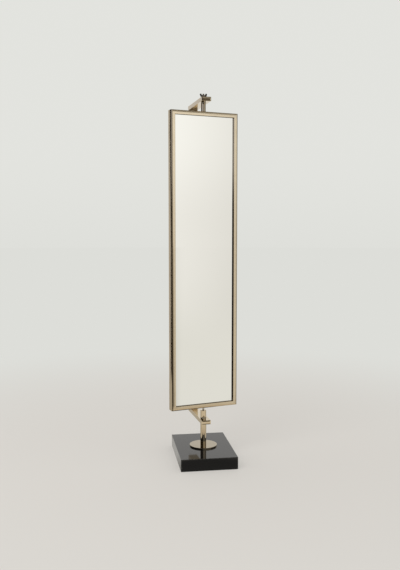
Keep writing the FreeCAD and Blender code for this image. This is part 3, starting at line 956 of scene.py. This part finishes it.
# ---------------------------------------------------------------- bracket
def bracket_tube():
    """Sections of the bracket's tube, of its bore and of the spigot in it, its width and its thickness."""
    edges = bpy.context.scene.dressing_mirror.edges
    low, high = square_box("lower_arm", BRACKET_TURN)
    _, key_high = square_box("bracket_corner_keys", BRACKET_TURN)
    wide, thick = high.x - low.x, high.z - low.z
    wall = high.x - key_high.x - FIT
    inner_corner = 0.4 * MM
    solid = rectangle(wide, thick, edges.tube, CORNER_STEPS, WEAR_REACH, (edges.bulge, edges.bulge / 3))
    hollow, spigot = (rectangle(wide - 2 * inset, thick - 2 * inset, inner_corner, CORNER_STEPS, WEAR_REACH,
                                DIVIDED) for inset in (wall, wall + FIT))
    return solid, hollow, spigot, wide, thick


class DRESSING_MIRROR_OT_bracket(bpy.types.Operator):
    """The bracket: two arms mitred to the upright, and the caps that close the arms"""
    bl_idname = "dressing_mirror.bracket"
    bl_label = "Bracket"

    def execute(self, context):
        edges = context.scene.dressing_mirror.edges
        solid, hollow, spigot, wide, thick = bracket_tube()
        mitre, plain = rim(edges.mitre, 1), rim(0.1 * MM, 1)
        around = wide / 2 - 4 * MM           # a loop on each side of the bore in an arm
        for name, node, up in (("lower_arm_tube", "lower_arm", 1), ("upper_arm_tube", "upper_arm", -1)):
            low, high = square_box(node, BRACKET_TURN)
            place = standing((low.z + high.z) / 2)
            end = slanted(high.y - thick / 2, -up)
            tube = bar(solid, place, low.y, end, plain, mitre, hollow, (-around, around))
            arm = make_object(name, [tube], BRACKET_TURN)
            hole, _ = radii(node)
            bore(arm, [drill(hole, low, high)])
            finish(arm, polished_brass("back", BRACKET_TURN), "bracket", [node])

        low, high = square_box("rear_upright", BRACKET_TURN)
        middle = (low.y + high.y) / 2
        # The section runs across the bracket and from its back to its front, and the bar runs up.
        place = Matrix(((1, 0, 0, 0), (0, -1, 0, middle), (0, 0, 1, 0), (0, 0, 0, 1)))
        foot, head = slanted(low.z + thick / 2, 1), slanted(high.z - thick / 2, -1)
        upright = bar(solid, place, foot, head, mitre, mitre, hollow)
        build("upright_tube", [upright], polished_brass("up", BRACKET_TURN), "bracket",
              ["rear_upright"], BRACKET_TURN)

        caps = []
        # The caps' faces fall away by the crown, over the run.
        crown, run, steps = 0.7 * MM, 6.5 * MM, 4
        face = [(edges.tube + run * (1 - i / steps), crown * (i / steps) ** 2, 0.0) for i in range(steps)]
        face += [(cut, crown + back, worn) for cut, back, worn in rim(edges.tube, steps)]
        plug_low, plug_high = square_box("arm_end_plugs", BRACKET_TURN)
        for node in ("lower_arm", "upper_arm"):
            low, high = square_box(node, BRACKET_TURN)
            place = standing((low.z + high.z) / 2)
            loops = [level(solid(cut), place, plug_low.y, back, worn) for cut, back, worn in face]
            loops += [level(solid(cut), place, low.y, -back) for cut, back, _ in reversed(plain)]
            loops += [level(spigot(), place, end) for end in (low.y, plug_high.y)]
            caps.append(skin(loops))
        build("arm_caps", caps, polished_brass("across", BRACKET_TURN), "bracket",
              ["arm_end_plugs"], BRACKET_TURN)
        return {"FINISHED"}


# ---------------------------------------------------------------- mirror
def frame_halves():
    """Half the frame's width, half its height, and the height of its middle."""
    low, high = square_box("frame_left_stile", MIRROR_TURN)
    _, right = square_box("frame_right_stile", MIRROR_TURN)
    return right.x, (high.z - low.z) / 2, (low.z + high.z) / 2


def on_side(side):
    """Where a bar's section and length go on one side of the frame: the section's first axis runs from
    the front to the back, its second from the frame's outer face inwards."""
    half_wide, half_high, middle = frame_halves()
    reach = half_high if side in LEVEL_SIDES else half_wide
    turn = {"top": 0, "right": 90, "bottom": 180, "left": 270}[side]
    flat = Matrix(((0, 0, 1, 0), (1, 0, 0, 0), (0, -1, 0, reach), (0, 0, 0, 1)))
    return Matrix.Translation((0, 0, middle)) @ Matrix.Rotation(math.radians(turn), 4, "Y") @ flat


def side_bar(side, shape, end_rim, shorter=0.0, stops=()):
    """A bar along one side of the frame, mitred at both ends."""
    half_wide, half_high, _ = frame_halves()
    half = (half_wide if side in LEVEL_SIDES else half_high) - shorter
    return bar(shape, on_side(side), slanted(-half, 1), slanted(half, -1), end_rim, end_rim, stops=stops)


def upper_screws():
    """Points of the pivot screws in the top rail."""
    points = points_of("pivot_block_screws", MIRROR_TURN)
    top = max(point.z for point in points)
    return [point for point in points if point.z > top - 100 * MM]


def screw_shank():
    """Radius of the pivot screws, read at their ends."""
    points = upper_screws()
    end = min(point.z for point in points)
    return max(point.y for point in points if abs(point.z - end) < MERGE)


class DRESSING_MIRROR_OT_frame(bpy.types.Operator):
    """The four mitred rails of the frame"""
    bl_idname = "dressing_mirror.frame"
    bl_label = "Frame"

    def execute(self, context):
        edges = context.scene.dressing_mirror.edges
        rail_low, rail_high = square_box("frame_top_rail", MIRROR_TURN)
        _, seal_high = square_box("glass_seals", MIRROR_TURN)
        face = rail_high.z - rail_low.z
        groove, lip, spare = seal_high.y + FIT, 0.2 * MM, 0.4 * MM
        floor = rail_high.z - seal_high.z - spare
        outer, front = edges.bulge, edges.bulge / 2      # crowns of the outer face, and of front and back
        deep = (rail_high.y - rail_low.y) / 2 - front
        shape = section([(-deep, outer, edges.frame, outer), (deep, outer, edges.frame, front),
                         (deep, face, edges.lip), (groove, face, lip), (groove, floor, 0),
                         (-groove, floor, 0), (-groove, face, lip), (-deep, face, edges.lip, front)],
                        CORNER_STEPS, WEAR_REACH)
        names = {"top": "frame_top_rail", "right": "frame_right_stile", "bottom": "frame_bottom_rail",
                 "left": "frame_left_stile"}
        near, far = 8 * MM, 60 * MM                      # loops on both sides of the bores
        for side, node in names.items():
            is_level = side in LEVEL_SIDES
            stops = (-far, -near, near, far) if is_level else ()
            rail = side_bar(side, shape, rim(edges.mitre, 1), stops=stops)
            item = make_object("mitred_" + side, [rail], MIRROR_TURN)
            if is_level:
                bore(item, self.holes(node, side), MIRROR_TURN)
            brass = polished_brass("across" if is_level else "up", MIRROR_TURN, 1.0, FRAME_DARKER_LOW)
            finish(item, brass, "mirror", [node])
        return {"FINISHED"}

    @staticmethod
    def holes(node, side):
        """Holes for the pivot and the two screws beside it."""
        low, high = square_box(node, MIRROR_TURN)
        screw_low, screw_high = square_box("pivot_block_screws", MIRROR_TURN)
        head = (screw_high.y - screw_low.y) / 2
        offset = screw_high.x - head
        shank = screw_shank()
        hole, _ = radii(node)
        skins = [drill(hole, low, high)]
        face, way = (high.z, -1) if side == "top" else (low.z, 1)
        deep = 30 * MM
        profile = [(head + FIT, face - way * THROUGH, 0), (head + FIT, face, 0),
                   (shank + FIT, face + way * (head - shank), 0), (shank + FIT, face + way * deep, 0)]
        for x in (-offset, offset):
            points, faces = turned(profile, PIN_FLATS)
            skins.append(([(place + Vector((x, 0, 0)), wear) for place, wear in points], faces))
        return skins


class DRESSING_MIRROR_OT_glass(bpy.types.Operator):
    """The two sheets of silvered glass and the vinyl strips round them"""
    bl_idname = "dressing_mirror.glass"
    bl_label = "Glass"

    def execute(self, context):
        arris = context.scene.dressing_mirror.glass.arris
        corner = 2 * MM
        for name, node in (("glass_front", "mirror_glass_front"), ("glass_back", "mirror_glass_back")):
            low, high = square_box(node, MIRROR_TURN)
            place = standing((low.z + high.z) / 2)
            pane = rectangle(high.x - low.x, high.z - low.z, corner)
            sheet = bar(pane, place, low.y, high.y, rim(arris, 1), rim(arris, 1))
            build(name, [sheet], mirror_silver(), "mirror", [node], MIRROR_TURN)

        _, high = square_box("glass_seals", MIRROR_TURN)
        _, glass_high = square_box("mirror_glass_back", MIRROR_TURN)
        rail_low, rail_high = square_box("frame_top_rail", MIRROR_TURN)
        play, lip_width = 0.1 * MM, 1.2 * MM
        outer_edge, lip_edge = 0.3 * MM, 0.25 * MM
        outer = rail_high.z - high.z
        lips = rail_high.z - rail_low.z + lip_width
        floor = rail_high.z - glass_high.z - play
        mouth = glass_high.y + play
        strip = section([(-high.y, outer, outer_edge), (high.y, outer, outer_edge), (high.y, lips, lip_edge),
                         (mouth, lips, lip_edge), (mouth, floor, 0), (-mouth, floor, 0),
                         (-mouth, lips, lip_edge), (-high.y, lips, lip_edge)], 3)
        strips = [side_bar(side, strip, rim(0), play) for side in ("top", "right", "bottom", "left")]
        build("glazing_strips", strips, black_vinyl(), "mirror", ["glass_seals"], MIRROR_TURN)
        return {"FINISHED"}


class DRESSING_MIRROR_OT_screws(bpy.types.Operator):
    """The slotted screws of the pivot blocks and of the bottom panel"""
    bl_idname = "dressing_mirror.screws"
    bl_label = "Screws"

    def execute(self, context):
        tree = screw_tree()
        low, high = square_box("pivot_block_screws", MIRROR_TURN)
        head, shank = high.y - low.y, 2 * screw_shank()
        length = high.z - min(point.z for point in upper_screws())
        spots = [((side * (high.x - head / 2), 0, height), (0, 0, way)) for side in (-1, 1)
                 for height, way in ((high.z, -1), (low.z, 1))]
        self.place("pivot_screws", tree, spots, (head, shank, length), "mirror", "pivot_block_screws",
                   MIRROR_TURN)
        low, high = square_box("bottom_panel_screws")
        head, shank, length = 8 * MM, 4 * MM, high.z - low.z
        batten_low, batten_high = square_box("base_battens")
        pitch = (batten_high.y - batten_low.y) / 3
        spots = [((side * (high.x - head / 2), row * pitch, low.z), (0, 0, 1)) for side in (-1, 1)
                 for row in (-1, 0, 1)]
        self.place("panel_screws", tree, spots, (head, shank, length), "base", "bottom_panel_screws", 0.0)
        return {"FINISHED"}

    @staticmethod
    def place(name, tree, spots, sizes, body, node, turn):
        """Puts one screw on each spot."""
        mesh = bpy.data.meshes.new(name)
        spin = Matrix.Rotation(turn, 3, "Z")
        mesh.from_pydata([spin @ Vector(place) for place, _ in spots], [], [])
        facing = mesh.attributes.new("facing", "FLOAT_VECTOR", "POINT")
        facing.data.foreach_set("vector", [part for _, way in spots for part in way])
        item = bpy.data.objects.new(name, mesh)
        bpy.context.scene.collection.objects.link(item)
        head, shank, length = sizes
        tree.run(item, zinc_steel(), {"Head": head, "Shank": shank, "Length": length,
                                      "Slot width": 1.0 * MM, "Slot depth": 0.8 * MM})
        finish(item, zinc_steel(), body, [node])


# ---------------------------------------------------------------- upper pivot
class DRESSING_MIRROR_OT_top_pivot(bpy.types.Operator):
    """The spacer, the threaded stud and the washers of the upper pivot"""
    bl_idname = "dressing_mirror.top_pivot"
    bl_label = "Top pivot"

    def execute(self, context):
        edge = context.scene.dressing_mirror.edges.turned
        rings = (("spacer", "top_spacer", polished_brass("round", 0.0), "mirror", "polished_metal", edge),
                 ("spacer_cushion", "spacer_washer", nylon(), "mirror", "nylon", WASHER_EDGE),
                 ("nut_washer", "clamp_washer", turned_steel(), "nut_washer", "turned_steel", 0.4 * MM))
        for name, node, material, body, slot, rounding in rings:
            low, high = square_box(node)
            inside, outside = radii(node)
            ring = sleeve(inside, outside, low.z, high.z, rounding, RING_FLATS)
            build(name, [ring], material, body, [node])

        low, high = square_box("top_stud")
        _, radius = radii("top_stud")
        _, arm_high = square_box("upper_arm")
        inside_arm = 4 * MM
        stud = make_object("threaded_stud", [])
        thread_tree(SMALL_FLATS).run(stud, turned_steel(), {
            "Bottom": low.z, "Thread start": arm_high.z - inside_arm, "Top": high.z, "Radius": radius,
            "Depth": 0.9 * MM, "Pitch": 1.5 * MM, "Chamfer": 1.0 * MM})
        finish(stud, turned_steel(), "mirror", ["top_stud"])
        return {"FINISHED"}


class DRESSING_MIRROR_OT_wing_nut(bpy.types.Operator):
    """The wing nut: a conical hub and two wings grown together"""
    bl_idname = "dressing_mirror.wing_nut"
    bl_label = "Wing nut"

    def execute(self, context):
        low, high = square_box("wing_nut")
        hole, _ = radii("wing_nut")
        hub, taper, top = high.y, 2 * MM, low.z + 15 * MM
        inside = hole - MM                   # the hole is cut to its size at the end
        profile = outline([(inside, low.z, 0), (hub, low.z, 0.8 * MM), (hub - taper, top, 1.2 * MM),
                           (inside, top, 0)], 4)
        wings = [self.wing(side, low.z, high) for side in (-1, 1)]
        nut = make_object("wing_nut_cast", [turned(profile, SMALL_FLATS, ring=True), *wings])
        grow = nut.modifiers.new("Grow together", "REMESH")
        grow.mode = "VOXEL"
        grow.voxel_size = 0.35 * MM
        soften = nut.modifiers.new("Soften", "SMOOTH")
        soften.factor = 0.5
        soften.iterations = 8
        settle(nut)
        bore(nut, [drill(hole, low, high, RING_FLATS)])
        finish(nut, turned_steel(NUT_DULL, NUT_EARS), "wing_nut", ["wing_nut"])
        return {"FINISHED"}

    @staticmethod
    def wing(side, base, high):
        """One wing: a plate between two round ends, thinner at its rim."""
        thick, root_radius, tip_radius = 4 * MM, 4 * MM, 4.8 * MM
        root = Vector((8.5 * MM, 5 * MM))
        tip = Vector((high.x - tip_radius, high.z - base - tip_radius))
        run = tip - root
        heading = math.atan2(run.y, run.x)

        def shape(cut=0.0):
            spread = math.acos((root_radius - tip_radius) / run.length)
            points = []
            for centre, radius, start, end, steps in (
                    (tip, tip_radius - cut, heading - spread, heading + spread, 14),
                    (root, root_radius - cut, heading + spread, heading - spread + 2 * math.pi, 10)):
                for i in range(steps + 1):
                    angle = start + (end - start) * i / steps
                    points.append((centre.x + radius * math.cos(angle),
                                   centre.y + radius * math.sin(angle), 0.0))
            return points

        edge = rim(1.5 * MM, 4)
        return bar(shape, standing(base, side), -thick / 2, thick / 2, edge, edge)


class DRESSING_MIRROR_OT_inner_parts(bpy.types.Operator):
    """Materials of the pieces inside, which keep the shapes of the CAD model"""
    bl_idname = "dressing_mirror.inner_parts"
    bl_label = "Inner parts"

    def execute(self, context):
        paint(pine(), "base_battens")
        paint(cast_iron(), "ballast_slab")
        paint(fibreboard(), "bottom_panel", "glass_core_board")
        paint(zinc_steel(), "ballast_screws", "tie_rod", "tie_rod_washer", "tie_rod_nut")
        paint(turned_steel(), "post_lower_plug", "post_upper_plug", "bracket_corner_keys",
              "frame_corner_keys", "top_pivot_block")
        paint(bearing_bronze(), "lower_arm_bush", "upper_arm_bush", "bottom_pivot_block")
        return {"FINISHED"}


# ---------------------------------------------------------------- stage
# What polished surfaces find round the set. Ways are degrees from the front or from the back towards +X,
# and heights are sines. A band is (start, full, fall, end) and an edge (from, to).
ROOM = {name: (*colour, 1.0) for name, colour in {
    "dark side": (0.03, 0.024, 0.017), "dark front": (0.14, 0.12, 0.09), "right side": (0.16, 0.15, 0.13),
    "high front": (0.42, 0.40, 0.36), "window": (0.60, 0.60, 0.65),
    "wall": (0.78, 0.765, 0.735), "wall high": (0.85, 0.87, 0.92), "wall end": (0.53, 0.50, 0.46),
    "bright high": (1.0, 0.98, 0.93), "bright low": (0.885, 0.86, 0.81),
    "bright floor": (0.755, 0.735, 0.675), "bright fading": (0.62, 0.60, 0.55),
    # The first of the foot colours is painted shade: the floor in front of the block as reflections find it.
    "shaded foot front": (0.22, 0.21, 0.18), "foot back": (0.63, 0.61, 0.57), "floor front": (0.55, 0.49, 0.41),
    "floor ahead": (0.69, 0.63, 0.53), "floor back": (0.47, 0.44, 0.38)}.items()}
DARK_FRONT, RIGHT_SIDE = (8, 24), (58, 66)
HIGH_FRONT = ((0.205, 0.235, 0.36, 0.46), (-16, -4, 56, 66))
WINDOW = ((0.03, 0.1, 0.19, 0.23), (-66, -54, -14, -6))
WALL_WIDE, WALL_TOP = (-0.3, 0.3, 80, 100), (0.5, 0.75)      # WALL_WIDE and WALL_END count from its start
WALL_HIGH, WALL_END = (0.08, 0.14, 0.22, 0.27), (10, 24)
WALL_START, WALL_START_HIGH = -35.3, -34.3                   # the wall's left end, low and high up
WALL_LEAN = (-0.02, 0.16)                                    # from the one to the other
BRIGHT_WORLD, BRIGHT_FLOOR = (27, 34, 40, 56), (28.5, 35.5, 48, 64)
BRIGHT_TOP, BRIGHT_RISE, BRIGHT_FADES = (0.178, 0.198), (0.0, 0.14), (30, 50)
HORIZON = (-0.1, 0.12)         # where the backdrop turns into its upper part

# What polished surfaces find on the floor. Edges are metres from the post's axis, or places along Y.
STILE_SIDE = 0.16              # from the axis to the frame's left edge, from which the floor's ways count
FOOT_EDGE, AHEAD_EDGE = (0.36, 0.42), (0.45, 0.65)
ROOM_EDGE, ROOM_EDGE_BACK = (1.02, 1.08), (1.72, 2.48)       # where the room begins, in front and behind
FRONT_TO_BACK, ROOM_TO_BACK = (-0.3, 0.1), (-0.3, 0.5)
NEARNESS = (0.0, 0.3)          # one over the distance, for what changes far out
FADE = (0.5, 3.4)              # where the floor turns into the backdrop
FADED_NEAR = 0.55              # how much of its plain colour the floor shows beside the block


class DRESSING_MIRROR_OT_stage(bpy.types.Operator):
    """Floor, backdrop, lamps and camera"""
    bl_idname = "dressing_mirror.stage"
    bl_label = "Stage"

    def execute(self, context):
        look = context.scene.dressing_mirror.stage
        self.floor(look)
        self.world(context.scene, look)
        self.lamps(look)
        self.camera(context.scene, look)
        context.scene.view_settings.view_transform = "Standard"
        return {"FINISHED"}

    @staticmethod
    def rays(make):
        """Whether a ray comes from the camera or through glass, and whether off a glossy surface."""
        path = make.add("ShaderNodeLightPath").socket.node.outputs
        camera, through, glossy = (Value(make, path[name]) for name in
                                   ("Is Camera Ray", "Is Transmission Ray", "Is Glossy Ray"))
        return camera + through, glossy

    @staticmethod
    def band(make, value, start, full, fall, end):
        """One between full and fall, and nothing below start and above end."""
        return make.step(value, start, full) * make.step(value, fall, end, 1.0, 0.0)

    def room(self, make, x, y, up, bright, fading, wall_start, bright_band):
        """What polished surfaces find in the direction (x, y, up): a pale wall behind, which starts on the
        left at wall_start, a window on the left of the front, a bright part on its right, a dim one above the
        front, and dark elsewhere."""
        front = make.math("ARCTAN2", x, y * -1.0) * math.degrees(1)
        back = make.math("ARCTAN2", x, y) * math.degrees(1)
        found = make.blend(make.step(front, *DARK_FRONT), ROOM["dark side"], ROOM["dark front"])
        found = make.blend(make.step(front, *RIGHT_SIDE), found, ROOM["right side"])
        for name, (heights, ways) in (("high front", HIGH_FRONT), ("window", WINDOW)):
            part = self.band(make, up, *heights) * self.band(make, front, *ways)
            found = make.blend(part, found, ROOM[name])
        along = back - wall_start
        colour = make.blend(self.band(make, up, *WALL_HIGH), ROOM["wall"], ROOM["wall high"])
        colour = make.blend(make.step(along, *WALL_END), ROOM["wall end"], colour)
        wall = self.band(make, along, *WALL_WIDE) * make.step(up, *WALL_TOP, 1.0, 0.0)
        found = make.blend(wall, found, colour)
        lit = self.band(make, front, *bright_band) * make.step(up, *BRIGHT_TOP, 1.0, 0.0)
        return make.blend(lit, found, make.blend(make.step(front, *BRIGHT_FADES), bright, fading))

    def floor(self, look):
        """A wide round floor that fades into the backdrop."""
        reach, sides = 40.0, 64
        mesh = bpy.data.meshes.new("floor")
        angles = (2 * math.pi * i / sides for i in range(sides))
        mesh.from_pydata([(reach * math.cos(angle), reach * math.sin(angle), 0) for angle in angles], [],
                         [tuple(range(sides))])
        item = bpy.data.objects.new("floor", mesh)
        bpy.context.scene.collection.objects.link(item)
        make = Finish("studio_floor")
        x, y, _ = make.split(make.place)
        distance, _ = make.radius_and_height()
        colour = make.blend(make.noise(1.2, 3) * 0.08, look.floor, tone(look.floor, 0.9))
        ground = make.add("ShaderNodeBsdfPrincipled", None,
                          {"Base Color": colour, "Roughness": 0.7, "Specular IOR Level": 0.2})
        camera, glossy = self.rays(make)
        backdrop = make.glow(make.blend(make.step(distance, *FADE), look.floor, look.horizon))
        seen = make.mix(make.step(distance, *FADE, FADED_NEAR) * camera, ground, backdrop)
        # For reflections the floor glows with a painted picture of the room, with painted shade in front of
        # the block.
        found = make.glow(self.floor_reflection(make, x, y, distance))
        make.add("ShaderNodeOutputMaterial", None, {"Surface": make.mix(glossy, seen, found)})
        mesh.materials.append(make.material)

    def floor_reflection(self, make, x, y, distance):
        """What polished surfaces find on the floor: painted shade in front of the block's foot and a paler
        place behind it, then the room, which begins further out behind the block than in front."""
        behind = make.step(y, *FRONT_TO_BACK)
        # Dark in front of the block: painted shade at its foot.
        foot = make.blend(behind, ROOM["shaded foot front"], ROOM["foot back"])
        ahead = make.blend(make.step(distance, *AHEAD_EDGE), ROOM["floor front"], ROOM["floor ahead"])
        outer = make.blend(behind, ahead, ROOM["floor back"])
        near = make.blend(make.step(distance, *FOOT_EDGE), foot, outer)
        far = make.step(1.0 / distance, *NEARNESS, 1.0, 0.0)
        bright = make.blend(far, ROOM["bright floor"], ROOM["bright low"])
        fading = make.blend(far, ROOM["bright floor"], ROOM["bright fading"])
        room = self.room(make, x + STILE_SIDE, y, 0.0, bright, fading, WALL_START, BRIGHT_FLOOR)
        back = make.step(y, *ROOM_TO_BACK)
        edge = [back * (end_back - end) + end for end, end_back in zip(ROOM_EDGE, ROOM_EDGE_BACK)]
        return make.blend(make.step(distance, *edge), near, room)

    def world(self, scene, look):
        """A pale surround. Reflections find the room round the set."""
        world = bpy.data.worlds.new("Studio")
        scene.world = world
        world.use_nodes = True
        make = Tree(world.node_tree)
        make.tree.nodes.clear()
        x, y, up = make.split(make.add("ShaderNodeTexCoord", output="Generated"))
        backdrop = make.blend(make.step(up, *HORIZON), look.horizon, look.upper)
        bright = make.blend(make.step(up, *BRIGHT_RISE), ROOM["bright low"], ROOM["bright high"])
        wall_start = make.step(up, *WALL_LEAN, WALL_START, WALL_START_HIGH)
        room = self.room(make, x, y, up, bright, ROOM["bright fading"], wall_start, BRIGHT_WORLD)
        camera, glossy = self.rays(make)
        light, seen, found = (make.add("ShaderNodeBackground", None, {"Color": colour, "Strength": strength})
                              for colour, strength in ((look.ambient_colour, look.ambient), (backdrop, 1.0),
                                                       (room, 1.0)))
        surround = make.mix(glossy, make.mix(camera, light, seen), found)
        make.add("ShaderNodeOutputWorld", None, {"Surface": surround})

    @staticmethod
    def lamps(look):
        """One large soft lamp high on the left, in front."""
        side, place, target = 2.2, Vector((-2.4, -2.2, 4.2)), Vector((0, 0, 0.5))
        lamp = bpy.data.lights.new("Key", "AREA")
        lamp.shape = "SQUARE"
        lamp.size = side
        lamp.energy = look.key
        item = bpy.data.objects.new("Key", lamp)
        bpy.context.scene.collection.objects.link(item)
        item.location = place
        item.rotation_mode = "QUATERNION"
        item.rotation_quaternion = (place - target).to_track_quat("Z", "Y")
        item.visible_glossy = False

    @staticmethod
    def camera(scene, look):
        """The camera, upright, a little left of the front."""
        lens = bpy.data.cameras.new("Camera")
        lens.sensor_width = 36
        lens.lens = look.focal
        item = bpy.data.objects.new("Camera", lens)
        scene.collection.objects.link(item)
        item.location = (-look.camera_distance * math.sin(look.camera_side),
                         -look.camera_distance * math.cos(look.camera_side), look.camera_height)
        item.rotation_euler = (math.pi / 2 - look.camera_tilt, 0, look.camera_heading)
        scene.camera = item


class DRESSING_MIRROR_PT_panel(bpy.types.Panel):
    """Buttons for each piece, and the settings"""
    bl_label = "Dressing mirror"
    bl_idname = "DRESSING_MIRROR_PT_panel"
    bl_space_type = "VIEW_3D"
    bl_region_type = "UI"
    bl_category = "Mirror"

    def draw(self, context):
        for step in STEPS:
            self.layout.operator(step.bl_idname)
        settings = context.scene.dressing_mirror
        for group in (settings.metal, settings.block, settings.glass, settings.edges, settings.stage):
            box = self.layout.box()
            for name in group.__annotations__:
                box.prop(group, name)


SETTINGS = (MetalLook, BlockLook, GlassLook, EdgeSizes, StageLook, MirrorSettings)
STEPS = (DRESSING_MIRROR_OT_stage, DRESSING_MIRROR_OT_block, DRESSING_MIRROR_OT_felt,
         DRESSING_MIRROR_OT_disc, DRESSING_MIRROR_OT_post, DRESSING_MIRROR_OT_bracket,
         DRESSING_MIRROR_OT_frame, DRESSING_MIRROR_OT_glass, DRESSING_MIRROR_OT_screws,
         DRESSING_MIRROR_OT_top_pivot, DRESSING_MIRROR_OT_wing_nut, DRESSING_MIRROR_OT_inner_parts)


def register():
    """Registers the settings, the operators and the panel."""
    for item in SETTINGS + STEPS + (DRESSING_MIRROR_PT_panel,):
        bpy.utils.register_class(item)
    bpy.types.Scene.dressing_mirror = bpy.props.PointerProperty(type=MirrorSettings)


def unregister():
    """Undoes register."""
    del bpy.types.Scene.dressing_mirror
    for item in reversed(SETTINGS + STEPS + (DRESSING_MIRROR_PT_panel,)):
        bpy.utils.unregister_class(item)


def main():
    """Makes the whole object."""
    register()
    for step in STEPS:
        group, name = step.bl_idname.split(".")
        getattr(getattr(bpy.ops, group), name)()


if __name__ == "__main__":
    main()
